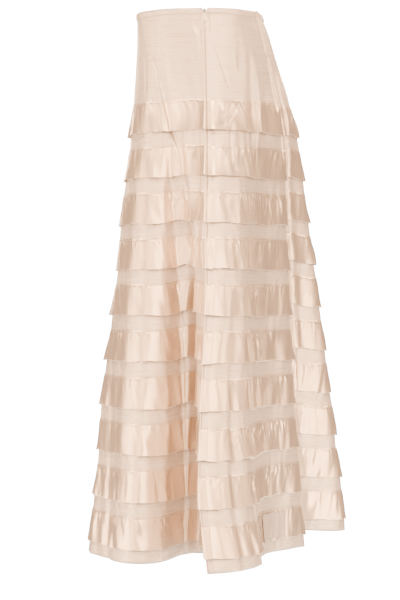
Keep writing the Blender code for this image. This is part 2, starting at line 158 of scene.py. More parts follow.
# Creases of the cloth, which the ribbons over it follow. Each runs straight from one place to another, in
# millimetres round from the left seam and below the waist. depth is how far it sinks, or rises if minus,
# width its half width, lean how much wider its side towards the back is, and fade the share that dies out.
Crease = namedtuple("Crease", "name round_a below_a round_b below_b width depth lean fade")
CREASES = (
    Crease("yoke dimple", -26, 26, -6, 44, 4.5, 3.0, 0.5, 0.40),
    Crease("yoke spot", -37, 68, -33, 98, 6.0, 1.4, 0.0, 0.50),
    Crease("yoke back line", 9, 44, 39, 144, 2.6, 1.5, 0.3, 0.35),
    Crease("yoke back ridge", 52, 58, 51, 108, 5.0, -1.6, 0.0, 0.45),
    Crease("yoke back fold", 88, 46, 90, 250, 7.0, 3.4, -0.2, 0.40),
    Crease("yoke back fold ridge", 101, 60, 110, 262, 5.0, -2.8, 0.0, 0.40),
    Crease("yoke back second fold", 118, 66, 128, 190, 5.0, 1.1, 0.0, 0.40),
    Crease("fold line head", 124, -30, 142, 90, 2.0, 8.0, 0.4, 0.10),
    Crease("fold line middle", 139, 74, 162, 160, 2.0, 7.5, 0.4, 0.12),
    Crease("fold line low", 160, 150, 186, 250, 2.2, 5.0, 0.4, 0.20),
    Crease("fold line edge", 120, -30, 138, 90, 3.2, -3.0, 0.0, 0.10),
    Crease("fold line low edge", 134, 74, 158, 164, 3.2, -3.0, 0.0, 0.15),
    Crease("fold mouth", 132, 68, 148, 100, 3.2, 5.6, 0.0, 0.35),
    Crease("fold mouth low", 150, 120, 156, 146, 3.5, 2.2, 0.0, 0.45),
    Crease("front line", -138, 60, -148, 147, 2.6, 1.2, 0.0, 0.40),
    Crease("front line ridge", -125, 64, -136, 147, 3.0, -1.2, 0.0, 0.40),
    Crease("front second line", -112, 60, -129, 150, 2.6, 1.3, 0.0, 0.40),
    Crease("front crease head", -119, 70, -98, 210, 1.4, 7.0, 0.4, 0.12),
    Crease("front crease line", -101, 192, -84, 312, 1.7, 7.5, 0.4, 0.10),
    Crease("front crease ridge", -113, 86, -80, 320, 3.6, -3.0, 0.0, 0.25),
    Crease("front crease wedge", -96, 240, -78, 372, 7.0, 5.0, 0.4, 0.35),
    Crease("side valley bottom", -103, 370, -231, 1150, 8.0, 46.0, 0.0, 0.15),
    Crease("side valley line", -112, 390, -266, 1150, 6.0, 20.0, 0.0, 0.15),
    Crease("side valley shoulder", -116, 370, -262, 1150, 34.0, -9.0, 0.0, 0.15),
    Crease("side valley wall", -60, 370, -60, 1190, 42.0, 8.5, 0.0, 0.15),
    Crease("seam edge turn", -25, 370, -25, 1190, 17.0, 8.5, 0.0, 0.15),
    Crease("band crease", 34, 184, 35, 262, 3.0, 1.6, 0.3, 0.25),
    Crease("band crease ridge", 42, 180, 44, 266, 5.0, -1.0, 0.0, 0.30),
    Crease("front lobe fold", -214, 470, -357, 1122, 16.0, 3.0, 0.2, 0.35),
    Crease("front lobe edge fold", -262, 600, -441, 1122, 14.0, -2.6, 0.0, 0.35),
    Crease("front lobe back fold", -172, 520, -274, 1122, 12.0, 2.4, 0.0, 0.35),
    Crease("side lobe fold", 42, 360, 75, 1122, 10.0, 2.2, 0.0, 0.35),
    Crease("side lobe second fold", 96, 400, 165, 1122, 13.0, -2.6, 0.2, 0.35),
    Crease("side lobe third fold", 140, 430, 255, 1122, 12.0, 2.4, 0.0, 0.35),
    Crease("centre front line", -214, 30, -236, 210, 7.0, 1.3, 0.1, 0.40),
    Crease("centre front ridge", -232, 40, -262, 250, 8.0, -1.2, 0.0, 0.40),
    Crease("front yoke dimple", -262, 34, -292, 66, 8.0, 1.6, 0.2, 0.45),
    Crease("front hollow fold", -330, 300, -476, 1122, 15.0, 3.2, 0.2, 0.35),
    Crease("front hollow ridge", -372, 330, -563, 1122, 15.0, -2.8, 0.0, 0.35),
    Crease("right front line", -330, 44, -368, 220, 5.0, 1.8, 0.3, 0.35),
    Crease("right front fold", -450, 280, -725, 1122, 14.0, 3.4, 0.0, 0.35),
    Crease("right yoke dimple", -382, 40, -410, 70, 7.0, 1.5, 0.0, 0.45),
    Crease("right back line", 396, 40, 432, 190, 5.0, 1.5, 0.2, 0.40),
    Crease("right back fold", 480, 300, 977, 1122, 13.0, 3.0, 0.0, 0.35),
    Crease("centre back dimple", 196, 36, 224, 68, 8.0, 1.7, 0.1, 0.45),
    Crease("centre back line", 232, 50, 262, 260, 6.0, 1.6, 0.2, 0.35),
    Crease("centre back ridge", 250, 60, 286, 270, 7.0, -1.3, 0.0, 0.40),
    Crease("far back line", 312, 46, 350, 230, 5.0, 1.7, 0.2, 0.40),
    Crease("far back fold", 360, 300, 653, 1122, 13.0, 2.8, 0.0, 0.35),
)

# Folds within one ribbon, in millimetres round from the left seam and below the ribbon's own top edge
RibbonFold = namedtuple("RibbonFold", "tier round_a below_a round_b below_b width depth")
RIBBON_FOLDS = (
    RibbonFold(1, 44, 3, 8, 44, 4.0, 1.6),
    RibbonFold(1, 54, 0, 18, 48, 5.0, -1.5),
    RibbonFold(1, 92, 4, 74, 71, 9.0, 1.2),
    RibbonFold(1, 128, 2, 116, 71, 6.0, -1.4),
    RibbonFold(1, -60, 2, -75, 71, 9.0, -0.9),
    RibbonFold(1, -136, 2, -124, 71, 8.0, 0.9),
    RibbonFold(2, -84, 2, -63, 71, 7.0, 1.4),
    RibbonFold(2, -40, 6, -49, 71, 9.0, -1.1),
    RibbonFold(2, 64, 3, 73, 71, 6.0, 0.9),
    RibbonFold(2, 84, 3, 96, 71, 5.0, -0.8),
    RibbonFold(2, 104, 2, 113, 71, 5.0, 0.9),
    RibbonFold(3, -122, 4, -106, 22, 4.0, -1.4),
    RibbonFold(3, -114, 2, -98, 30, 4.0, 1.6),
    RibbonFold(3, 30, 4, 45, 71, 8.0, 1.0),
    RibbonFold(3, 190, 3, 204, 34, 4.0, -1.5),
    RibbonFold(4, 44, 2, 50, 71, 6.0, 1.1),
    RibbonFold(4, 92, 6, 104, 44, 6.0, -1.2),
    RibbonFold(4, 140, 2, 150, 40, 5.0, 1.4),
    RibbonFold(5, 52, 2, 62, 40, 5.0, 1.5),
    RibbonFold(5, 132, 3, 158, 36, 5.0, -1.6),
    RibbonFold(5, -330, 3, -315, 71, 8.0, 1.2),
    RibbonFold(6, 142, 3, 176, 38, 5.0, 1.7),
    RibbonFold(6, 158, 2, 192, 40, 5.0, -1.5),
    RibbonFold(6, -150, 6, -126, 71, 7.0, -1.3),
    RibbonFold(6, -118, 6, -103, 71, 6.0, 1.3),
    RibbonFold(7, 92, 3, 104, 71, 6.0, 1.1),
    RibbonFold(7, -220, 4, -244, 71, 8.0, 1.3),
    RibbonFold(7, -410, 4, -422, 71, 9.0, 1.2),
    RibbonFold(8, 44, 2, 62, 20, 4.0, 1.7),
    RibbonFold(8, 74, 2, 60, 22, 4.0, -1.6),
    RibbonFold(8, 130, 4, 139, 71, 6.0, 1.2),
    RibbonFold(8, 176, 4, 191, 71, 7.0, -1.2),
    RibbonFold(9, 112, 2, 122, 40, 5.0, 1.7),
    RibbonFold(9, 240, 2, 262, 30, 4.0, 1.8),
    RibbonFold(9, -268, 4, -286, 71, 6.0, 1.3),
    RibbonFold(9, -244, 4, -253, 71, 5.0, -1.0),
    RibbonFold(10, 60, 2, 69, 71, 6.0, 1.2),
    RibbonFold(10, 96, 4, 112, 46, 6.0, -1.6),
    RibbonFold(10, 180, 4, 204, 44, 6.0, 1.8),
    RibbonFold(10, -376, 2, -388, 71, 7.0, 1.2),
    RibbonFold(10, -226, 2, -235, 71, 8.0, 1.3),
)

# Places where a ribbon was sewn on lower than the rest of its tier, in millimetres
Sag = namedtuple("Sag", "tier round half_width drop")
SAGS = (
    Sag(8, 20, 14, 2.6),
    Sag(8, 58, 12, 5.0),
    Sag(8, 100, 16, 1.8),
    Sag(9, -120, 60, 1.6),
    Sag(10, 120, 70, 1.8),
    Sag(3, 60, 30, 1.2),
    Sag(5, 130, 40, 1.4),
    Sag(7, -300, 60, 1.5),
    Sag(6, 380, 50, 1.8),
    Sag(9, 420, 60, 2.0),
    Sag(4, -420, 50, 1.6),
)


# Where the ribbons of some tiers are gathered well down from their stitches, where their free edges stand
# off further, where their raw edges are worn, and where they hang flat. first and last are tiers, round and
# half_width millimetres round from the left seam.
Zone = namedtuple("Zone", "first last round half_width share")
GATHERED = (
    Zone(3, 3, 150, 80, 1.0),
    Zone(4, 4, 130, 90, 0.8),
    Zone(5, 6, 150, 70, 1.0),
    Zone(7, 7, 190, 70, 0.7),
    Zone(8, 9, 180, 110, 0.9),
    Zone(1, 1, 60, 60, 0.6),
    Zone(2, 2, 200, 70, 0.5),
    Zone(10, 10, -450, 50, 0.5),
    Zone(3, 3, -110, 24, 0.9),
    Zone(6, 8, 420, 90, 0.7),
)
LIFTED = (
    Zone(1, 2, 70, 80, 0.8),
    Zone(1, 1, -90, 50, 0.6),
    Zone(3, 3, -60, 50, 0.8),
    Zone(8, 8, 130, 90, 0.8),
    Zone(6, 6, 360, 90, 0.7),
    Zone(5, 5, -420, 90, 0.7),
)
WORN = (
    Zone(8, 8, 210, 110, 1.0),
    Zone(9, 9, 240, 130, 1.0),
    Zone(10, 10, 260, 110, 1.0),
    Zone(7, 7, 220, 90, 0.7),
    Zone(6, 6, 190, 80, 0.6),
    Zone(1, 3, 250, 60, 0.5),
    Zone(5, 9, -540, 120, 0.8),
    Zone(2, 6, 520, 120, 0.7),
    Zone(4, 10, 0, 12, 0.9),
)
CALM = (
    Zone(3, 9, -240, 120, 0.75),
    Zone(6, 10, 20, 50, 0.6),
    Zone(1, 2, -70, 50, 0.5),
)


class ClothSettings(bpy.types.PropertyGroup):
    """Colours and small relief of the taffeta."""

    colour: FloatVectorProperty(
        name="Taffeta colour",
        description="Colour of the plain cloth",
        subtype="COLOR",
        default=(0.76, 0.685, 0.645),
    )
    slub_colour: FloatVectorProperty(
        name="Slub colour",
        description="Colour of the thicker threads",
        subtype="COLOR",
        default=(0.56, 0.495, 0.455),
    )
    wrinkle: FloatProperty(
        name="Wrinkle height",
        description="Height of the small wrinkles",
        subtype="DISTANCE",
        default=0.0004,
    )
    softness: FloatProperty(
        name="Undulation",
        description="Height of the soft wide undulations",
        subtype="DISTANCE",
        default=0.0008,
    )
    hem_turn: FloatProperty(
        name="Hem turn",
        description="Height of the cloth turned up inside",
        subtype="DISTANCE",
        default=0.012,
    )


class RibbonSettings(bpy.types.PropertyGroup):
    """Colours and relief of the satin ribbons."""

    colour: FloatVectorProperty(
        name="Satin colour",
        description="Colour of the ribbons",
        subtype="COLOR",
        default=(0.82, 0.70, 0.60),
    )
    edge_colour: FloatVectorProperty(
        name="Edge colour",
        description="Colour of the raw edges",
        subtype="COLOR",
        default=(0.94, 0.95, 0.96),
    )
    # The ribbons' back colour, darker and cooler than the face, is a painted lilac-grey sheen.
    reverse_painted_sheen_colour: FloatVectorProperty(
        name="Reverse colour",
        description="Colour of the ribbons' back",
        subtype="COLOR",
        default=(0.50, 0.45, 0.47),
    )
    wave: FloatProperty(
        name="Wave height",
        description="Height of the ribbons' free waves",
        subtype="DISTANCE",
        default=0.0010,
    )
    pucker: FloatProperty(
        name="Pucker height",
        description="Height of the gathers under the stitches",
        subtype="DISTANCE",
        default=0.0006,
    )
    fray: FloatProperty(
        name="Fray length",
        description="Length of the fibres at the raw edge",
        subtype="DISTANCE",
        default=0.0022,
    )


class SewingSettings(bpy.types.PropertyGroup):
    """Sizes and colour of the sewing thread."""

    colour: FloatVectorProperty(
        name="Thread colour",
        description="Colour of the thread",
        subtype="COLOR",
        default=(0.84, 0.81, 0.78),
    )
    stitch: FloatProperty(
        name="Stitch length",
        description="Length of one stitch",
        subtype="DISTANCE",
        default=0.0026,
    )
    thread: FloatProperty(
        name="Thread width",
        description="Width of the thread",
        subtype="DISTANCE",
        default=0.00038,
    )


class ZipSettings(bpy.types.PropertyGroup):
    """Colours of the zip."""

    metal: FloatVectorProperty(
        name="Slider colour",
        description="Colour of the slider",
        subtype="COLOR",
        default=(0.20, 0.23, 0.26),
    )
    tab: FloatVectorProperty(
        name="Tab colour",
        description="Colour of the pull tab",
        subtype="COLOR",
        default=(0.82, 0.80, 0.76),
    )
    tape: FloatVectorProperty(
        name="Tape colour",
        description="Colour of the zip's tape",
        subtype="COLOR",
        default=(0.80, 0.78, 0.76),
    )


class StudioSettings(bpy.types.PropertyGroup):
    """Lights, backdrop and camera."""

    backdrop: FloatVectorProperty(
        name="Backdrop colour",
        description="Colour of the floor",
        subtype="COLOR",
        default=(0.53, 0.71, 0.95),
    )
    light_colour: FloatVectorProperty(
        name="Light colour",
        description="Colour of every light",
        subtype="COLOR",
        default=(1.0, 0.62, 0.34),
    )
    room_colour: FloatVectorProperty(
        name="Room colour",
        description="Colour of the soft light all round",
        subtype="COLOR",
        default=(1.0, 0.68, 0.48),
    )
    light_power: FloatProperty(
        name="Lights", description="Share of each light's own power", default=1.08
    )
    room_light: FloatProperty(
        name="Room light", description="Strength of the soft light all round", default=0.55
    )
    backdrop_light: FloatProperty(
        name="Backdrop light", description="How bright the backdrop looks", default=24.0
    )
    camera_distance: FloatProperty(
        name="Camera distance",
        description="From the skirt's middle",
        subtype="DISTANCE",
        default=4.0,
    )


def fold_shares():
    """Each fold line's place at the hem, and its share of the girth, even within each quarter of it."""
    hem = np.array([(fold.x, fold.y) for fold in FOLDS], float) * MM
    steps = np.linalg.norm(np.roll(hem, -1, axis=0) - hem, axis=1)
    names = [fold.name for fold in FOLDS]
    stops = [names.index(name) for name in QUARTER_LINES] + [len(FOLDS)]
    shares = np.zeros(len(FOLDS) + 1)
    for quarter, (first, last) in enumerate(zip(stops, stops[1:])):
        run = np.concatenate([[0.0], np.cumsum(steps[first:last])])
        shares[first : last + 1] = (quarter + run / run[-1]) / 4
    return hem, shares


HEM, SHARES = fold_shares()


def closed_spline(knots):
    """The bends of the smooth closed curve through one value at each knot, as a matrix on those values."""
    count = len(knots) - 1
    width = np.diff(knots)
    left = np.zeros((count, count))
    right = np.zeros((count, count))
    for i in range(count):
        before = width[i - 1]
        after = width[i]
        following = (i + 1) % count
        left[i, i - 1] += before / 6
        left[i, i] += (before + after) / 3
        left[i, following] += after / 6
        right[i, i - 1] += 1 / before
        right[i, i] -= 1 / before + 1 / after
        right[i, following] += 1 / after
    return np.linalg.solve(left, right)


BENDS = closed_spline(SHARES)


def fold_weights(shares):
    """How much each fold line counts at each share of the girth."""
    shares = shares % 1.0
    first = np.clip(np.searchsorted(SHARES, shares, side="right") - 1, 0, len(FOLDS) - 1)
    second = (first + 1) % len(FOLDS)
    width = SHARES[first + 1] - SHARES[first]
    to_second = (shares - SHARES[first]) / width
    to_first = 1 - to_second
    weights = (to_first**3 - to_first)[:, None] * BENDS[first]
    weights += (to_second**3 - to_second)[:, None] * BENDS[second]
    weights *= (width**2 / 6)[:, None]
    places = np.arange(len(shares))
    weights[places, first] += to_first
    weights[places, second] += to_second
    return weights


def ring_value(column, below):
    """One column of RINGS at each depth, on a smooth curve through its rows."""
    at = np.array([ring.below for ring in RINGS])
    values = np.array([getattr(ring, column) for ring in RINGS])
    width = np.diff(at)
    rise = np.diff(values) / width
    slopes = np.concatenate([[rise[0]], np.zeros(len(at) - 2), [rise[-1]]])
    slopes[1:-1] = (rise[:-1] * width[1:] + rise[1:] * width[:-1]) / (width[1:] + width[:-1])
    i = np.clip(np.searchsorted(at, below, side="right") - 1, 0, len(width) - 1)
    t = (below - at[i]) / width[i]
    start = (1 + 2 * t) * (1 - t) ** 2 * values[i] + t * (1 - t) ** 2 * width[i] * slopes[i]
    end = t**2 * (3 - 2 * t) * values[i + 1] - t**2 * (1 - t) * width[i] * slopes[i + 1]
    return start + end


def body_ring(below):
    """X and Y of each fold line on the body ring, for each depth."""
    turn = 2 * np.pi * SHARES[:-1]
    forward = np.cos(turn)
    front = ring_value("front", below)[:, None]
    back = ring_value("back", below)[:, None]
    reach = np.where(forward > 0, front, back)
    seam = ring_value("seam", below)[:, None] * np.maximum(np.sin(turn), 0) ** SEAM_NARROWNESS
    side = ring_value("side", below)[:, None] * np.sin(turn)
    return np.stack([side, seam - reach * forward], axis=-1)


def grown(share, ease):
    """A growth from 0 to 1: late for an ease over 1, and early for one under 1."""
    share = np.clip(share, 0.0, 1.0)
    return np.where(ease >= 1, share**ease, 1 - (1 - share) ** (1 / ease))


def fold_points(below):
    """The fold lines' points for each depth below the waist, measured down the cloth."""
    share = (below / LENGTH)[:, None]
    start = np.array([fold.start for fold in FOLDS])
    past = (share - start) / (1 - start)
    growth = (past + np.hypot(past, SOFT_START)) / (1 + math.hypot(1, SOFT_START))
    flat = body_ring(below)
    full = HEM - body_ring(np.array([LENGTH]))
    points = np.zeros((len(below), len(FOLDS), 3))
    for axis, column in enumerate(("out", "sweep")):
        ease = np.array([getattr(fold, column) for fold in FOLDS])
        points[..., axis] = flat[..., axis] + full[..., axis] * grown(growth, ease)
    lift = np.array([fold.lift for fold in FOLDS]) * MM
    rise = lift * np.minimum(1.0, share / LIFT_SHARE) ** LIFT_EASE
    side = np.sin(2 * np.pi * SHARES[:-1]) ** 2
    dip = WAIST_DIP * side * np.maximum(0.0, 1 - share / WAIST_DIP_SHARE)
    points[..., 2] = rise - dip - below[:, None]
    return points


def smooth_cloth(shares, below):
    """Points of the smooth cloth's outer face."""
    return np.einsum("nf,nfk->nk", fold_weights(shares), fold_points(below))


def unit(vectors):
    """The vectors at length 1."""
    return vectors / np.linalg.norm(vectors, axis=-1, keepdims=True)


def cloth_frame(shares, below):
    """Points of the smooth cloth's outer face, with the outward, downward and sideways directions there."""
    shares, below = np.broadcast_arrays(np.asarray(shares, float), np.asarray(below, float))
    shape = shares.shape
    shares = shares.ravel()
    below = np.clip(below.ravel(), 0.0, LENGTH)
    here = fold_points(below)
    above = np.maximum(below - FRAME_STEP, 0.0)
    under = np.minimum(below + FRAME_STEP, LENGTH)
    weights = fold_weights(shares)
    point = np.einsum("nf,nfk->nk", weights, here)
    down = np.einsum("nf,nfk->nk", weights, fold_points(under) - fold_points(above))
    across = fold_weights(shares + FRAME_STEP) - fold_weights(shares - FRAME_STEP)
    outward = unit(np.cross(down, np.einsum("nf,nfk->nk", across, here)))
    down = unit(down)
    side = np.cross(outward, down)
    return [part.reshape(*shape, 3) for part in (point, outward, down, side)]


GIRTH_DEPTHS = np.linspace(0, LENGTH, 45)
GIRTH_SHARES = np.linspace(0, 1, 361)


def girth_table():
    """Length of the cloth round the body at each of GIRTH_DEPTHS."""
    lengths = []
    for below in GIRTH_DEPTHS:
        ring = smooth_cloth(GIRTH_SHARES, np.full(len(GIRTH_SHARES), below))
        lengths.append(np.linalg.norm(np.diff(ring, axis=0), axis=1).sum())
    return np.array(lengths)


GIRTHS = girth_table()


def girth(below):
    """Length of the cloth round the body at each depth."""
    return np.interp(below, GIRTH_DEPTHS, GIRTHS)


def way_round(shares, below):
    """How far round from the left seam a place is: plus over the back, minus over the front."""
    return ((shares - LEFT_SEAM + 0.5) % 1.0 - 0.5) * girth(below)


def share_of(way, below):
    """The share of the girth at a way round from the left seam."""
    return LEFT_SEAM + way / girth(below)


def eased(value):
    """A smooth step from 0 to 1."""
    value = np.clip(value, 0.0, 1.0)
    return value * value * (3 - 2 * value)


def line_fold(way, below, fold, lean, fade):
    """Depth of one straight fold in millimetres, minus inwards. Its places are in millimetres."""
    along = np.array([fold.round_b - fold.round_a, fold.below_b - fold.below_a], float)
    length = np.hypot(*along)
    from_a = way / MM - fold.round_a
    down_a = below / MM - fold.below_a
    share = (from_a * along[0] + down_a * along[1]) / length**2
    aside = (from_a * along[1] - down_a * along[0]) / length
    width = fold.width * (1 + lean * np.sign(aside))
    window = eased(share / fade) * eased((1 - share) / fade)
    return -fold.depth * np.exp(-((aside / width) ** 2)) * window


# The kinds of small waves: the seed of each, to which a ribbon adds its tier, its shortest and its longest
# wave, in metres, and how slowly it changes on the way down compared with the way round
Waves = namedtuple("Waves", "seed short long upright")
WRINKLES = Waves(3, 0.016, 0.045, 3.0)
UNDULATIONS = Waves(9, 0.05, 0.12, 1.8)
WAIST_RIPPLES = Waves(11, 0.006, 0.016, 4.0)
LINE_WANDER = Waves(40, 0.03, 0.09, 9.0)
LINE_WOBBLE = Waves(55, 0.009, 0.022, 9.0)
EDGE_SLACK = Waves(70, 0.04, 0.13, 9.0)
GATHERS = Waves(100, 0.0060, 0.0170, 1.5)
FREE_WAVES = Waves(160, 0.035, 0.095, 2.2)
FREE_RIPPLES = Waves(190, 0.012, 0.028, 2.6)
CORNER_RIPPLES = Waves(77, 0.014, 0.034, 3.0)
WAVE_COUNT = 7

# The kinds of patches: the seed of each, to which a ribbon adds its tier, and their size in metres
Patches = namedtuple("Patches", "seed size")
WRINKLED_PATCHES = Patches(5, 0.09)
GATHERED_PATCHES = Patches(130, 0.07)
LOOSE_PATCHES = Patches(540, 0.05)
STRAND_PATCHES = Patches(580, 0.05)
PATCH_SHORT = 0.7
PATCH_LONG = 1.6
PATCH_UPRIGHT = 0.8
PATCH_CONTRAST = 1.6


def ripples(way, below, waves, tier=0):
    """Even-sized small waves, about -1 to 1, that run down the cloth."""
    rng = np.random.default_rng(waves.seed + tier)
    total = np.zeros(np.broadcast(way, below).shape)
    for _ in range(WAVE_COUNT):
        turns = 2 * np.pi / rng.uniform(waves.short, waves.long)
        slant = rng.uniform(-1, 1) / waves.upright
        phase = rng.uniform(0, 2 * np.pi)
        total += np.sin(turns * (way + slant * below) + phase)
    return total / math.sqrt(WAVE_COUNT)


def patches(way, below, kind, tier=0):
    """A slow change between 0 and 1 over the cloth."""
    waves = Waves(kind.seed, kind.size * PATCH_SHORT, kind.size * PATCH_LONG, PATCH_UPRIGHT)
    return 0.5 + 0.5 * np.tanh(PATCH_CONTRAST * ripples(way, below, waves, tier))


# The relief of the side seams: a groove, a rolled edge in front of it and a sunk strip behind it. The roll
# loses some of its height further down, and is lower at the right seam.
SEAM_GROOVE = 1.0 * MM
SEAM_GROOVE_WIDTH = 1.5 * MM
SEAM_ROLL = 2.7 * MM
SEAM_ROLL_AWAY = 3.6 * MM
SEAM_ROLL_WIDTH = 2.8 * MM
SEAM_SINK = 2.0 * MM
SEAM_SINK_AWAY = 4.4 * MM
SEAM_SINK_WIDTH = 4.4 * MM
ROLL_LOSS = 0.7
ROLL_LOSS_START = 0.24
ROLL_LOSS_RUN = 0.16
RIGHT_SEAM_SHARE = 0.6


def bell(away, width):
    """1 at the middle, falling to nothing over a few widths."""
    return np.exp(-((away / width) ** 2))


def seam_relief(way, below):
    """The groove at each side seam, with the rolled edge in front of it and the lower cloth behind it."""
    from_right = np.sign(way) * (girth(below) / 2 - np.abs(way))
    relief = np.zeros(np.broadcast(way, below).shape)
    rolled = SEAM_ROLL * (1 - ROLL_LOSS * eased((below - ROLL_LOSS_START) / ROLL_LOSS_RUN))
    for aside, share in ((way, 1.0), (from_right, RIGHT_SEAM_SHARE)):
        relief -= SEAM_GROOVE * bell(aside, SEAM_GROOVE_WIDTH)
        relief += share * rolled * bell(aside + SEAM_ROLL_AWAY, SEAM_ROLL_WIDTH)
        relief -= share * SEAM_SINK * bell(aside - SEAM_SINK_AWAY, SEAM_SINK_WIDTH)
    return relief


def cloth_relief(way, below):
    """Height of the creased cloth over the smooth one."""
    settings = bpy.context.scene.skirt_cloth
    relief = seam_relief(way, below)
    for crease in CREASES:
        relief = relief + line_fold(way, below, crease, crease.lean, crease.fade) * MM
    small = ripples(way, below, WRINKLES) * patches(way, below, WRINKLED_PATCHES)
    soft = ripples(way, below, UNDULATIONS)
    return relief + settings.wrinkle * small + settings.softness * soft


def dressed(shares, below, height=0.0):
    """Points of the creased cloth, at a height over it, with its directions."""
    point, outward, down, side = cloth_frame(shares, below)
    rise = cloth_relief(way_round(shares, below), below) + height
    return point + outward * rise[..., None], outward, down, side


def add_piece(name, mesh, surface):
    """A piece of the skirt from a mesh, in one material."""
    mesh.materials.append(surface)
    mesh.shade_smooth()
    piece = bpy.data.objects.new(name, mesh)
    bpy.context.scene.collection.objects.link(piece)
    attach(piece, "skirt")
    return piece


def grid_piece(name, points, places, surface):
    """A sheet through rows of points, with the place of each on the cloth, in metres, as its UV."""
    rows, columns = points.shape[:2]
    at = np.arange(rows * columns).reshape(rows, columns)
    faces = np.stack([at[:-1, :-1], at[1:, :-1], at[1:, 1:], at[:-1, 1:]], axis=-1).reshape(-1, 4)
    mesh = bpy.data.meshes.new(name)
    mesh.from_pydata(points.reshape(-1, 3).tolist(), [], faces.tolist())
    layer = mesh.uv_layers.new(name="cloth")
    layer.data.foreach_set("uv", places.reshape(-1, 2)[faces.ravel()].ravel())
    return add_piece(name, mesh, surface)


def small_parts(name, points, faces, surface):
    """A piece from many small parts in one mesh."""
    mesh = bpy.data.meshes.new(name)
    mesh.from_pydata(points.tolist(), [], faces)
    piece = add_piece(name, mesh, surface)


def new_material(name, colour, roughness):
    """A Principled material, with its nodes, its links and its shader."""
    made = bpy.data.materials.new(name)
    made.use_nodes = True
    nodes = made.node_tree.nodes
    shader = nodes["Principled BSDF"]
    shader.inputs["Base Color"].default_value = (*colour, 1.0)
    shader.inputs["Roughness"].default_value = roughness
    return made, nodes, made.node_tree.links, shader


def stretched_noise(nodes, links, scale, detail=3.0, rough=0.55):
    """A noise over the cloth's own places, stretched by a scale round it and down it."""
    places = nodes.new("ShaderNodeUVMap")
    places.uv_map = "cloth"
    mapping = nodes.new("ShaderNodeMapping")
    mapping.inputs["Scale"].default_value = (*scale, 1.0)
    noise = nodes.new("ShaderNodeTexNoise")
    noise.inputs["Scale"].default_value = 1.0
    noise.inputs["Detail"].default_value = detail
    noise.inputs["Roughness"].default_value = rough
    links.new(places.outputs["UV"], mapping.inputs["Vector"])
    links.new(mapping.outputs["Vector"], noise.inputs["Vector"])
    return noise.outputs["Fac"]


def two_tone(nodes, links, factor, first, second, low=0.35, high=0.65):
    """A colour between two, by a factor whose middle range is spread out."""
    spread = nodes.new("ShaderNodeMapRange")
    spread.inputs["From Min"].default_value = low
    spread.inputs["From Max"].default_value = high
    mix = nodes.new("ShaderNodeMix")
    mix.data_type = "RGBA"
    mix.inputs["A"].default_value = (*first, 1.0)
    mix.inputs["B"].default_value = (*second, 1.0)
    links.new(factor, spread.inputs["Value"])
    links.new(spread.outputs["Result"], mix.inputs["Factor"])
    return mix.outputs["Result"]


def add_bump(nodes, links, shader, height, distance):
    """Relief of a height in metres, over any that the shader has."""
    bump = nodes.new("ShaderNodeBump")
    bump.inputs["Distance"].default_value = distance
    bump.inputs["Strength"].default_value = 1.0
    before = shader.inputs["Normal"].links
    if before:
        links.new(before[0].from_socket, bump.inputs["Normal"])
    links.new(height, bump.inputs["Height"])
    links.new(bump.outputs["Normal"], shader.inputs["Normal"])


def roughness_range(nodes, links, shader, factor, low, high):
    """A roughness that changes between two values by a factor."""
    spread = nodes.new("ShaderNodeMapRange")
    spread.inputs["To Min"].default_value = low
    spread.inputs["To Max"].default_value = high
    links.new(factor, spread.inputs["Value"])
    links.new(spread.outputs["Result"], shader.inputs["Roughness"])


def shaded(nodes, links, shader, factor, colour, shade):
    """A colour that a factor darkens in places, down to a share of itself."""
    darker = tuple(part * shade for part in colour)
    links.new(two_tone(nodes, links, factor, darker, colour), shader.inputs["Base Color"])


def speckles(nodes, scale):
    """A fine noise through the piece itself."""
    noise = nodes.new("ShaderNodeTexNoise")
    noise.inputs["Scale"].default_value = scale
    return noise.outputs["Fac"]


def brushed(shader, metallic, anisotropic):
    """The sheen of threads that run round the skirt."""
    shader.inputs["Anisotropic"].default_value = anisotropic
    shader.inputs["Anisotropic Rotation"].default_value = 0.25
    shader.inputs["Metallic"].default_value = metallic


def taffeta():
    """Plain woven cloth with thicker threads running round it."""
    settings = bpy.context.scene.skirt_cloth
    made, nodes, links, shader = new_material("taffeta_weave", settings.colour, 0.60)
    slubs = stretched_noise(nodes, links, (13, 430), 5.0, 0.68)
    weave = stretched_noise(nodes, links, (1900, 1900), 1.0, 0.5)
    cloudy = stretched_noise(nodes, links, (14, 22), 2.0, 0.5)
    colour = two_tone(nodes, links, slubs, settings.slub_colour, settings.colour, 0.30, 0.50)
    links.new(colour, shader.inputs["Base Color"])
    roughness_range(nodes, links, shader, cloudy, 0.36, 0.46)
    add_bump(nodes, links, shader, slubs, 0.0008)
    add_bump(nodes, links, shader, weave, 0.00006)
    brushed(shader, metallic=0.50, anisotropic=0.5)
    shader.inputs["Sheen Weight"].default_value = 0.12
    shader.inputs["Sheen Roughness"].default_value = 0.45
    return made


def satin():
    """Ribbon with a glossy face of long threads."""
    settings = bpy.context.scene.skirt_ribbon
    made, nodes, links, shader = new_material("ribbon_satin", settings.colour, 0.34)
    threads = stretched_noise(nodes, links, (40, 2600), 2.0, 0.5)
    cloudy = stretched_noise(nodes, links, (30, 18), 2.0, 0.5)
    shaded(nodes, links, shader, threads, settings.colour, 0.93)
    roughness_range(nodes, links, shader, cloudy, 0.34, 0.45)
    add_bump(nodes, links, shader, threads, 0.00004)
    brushed(shader, metallic=0.86, anisotropic=0.6)
    shader.inputs["Specular IOR Level"].default_value = 0.60
    return made


def satin_reverse():
    """The ribbon's dull back, whose darker, cooler colour is a painted lilac-grey sheen."""
    settings = bpy.context.scene.skirt_ribbon
    made, nodes, links, shader = new_material("satin_reverse", settings.reverse_painted_sheen_colour, 0.55)
    threads = stretched_noise(nodes, links, (500, 90), 3.0, 0.6)
    shaded(nodes, links, shader, threads, settings.reverse_painted_sheen_colour, 0.86)
    add_bump(nodes, links, shader, threads, 0.0002)
    shader.inputs["Metallic"].default_value = 0.35
    return made


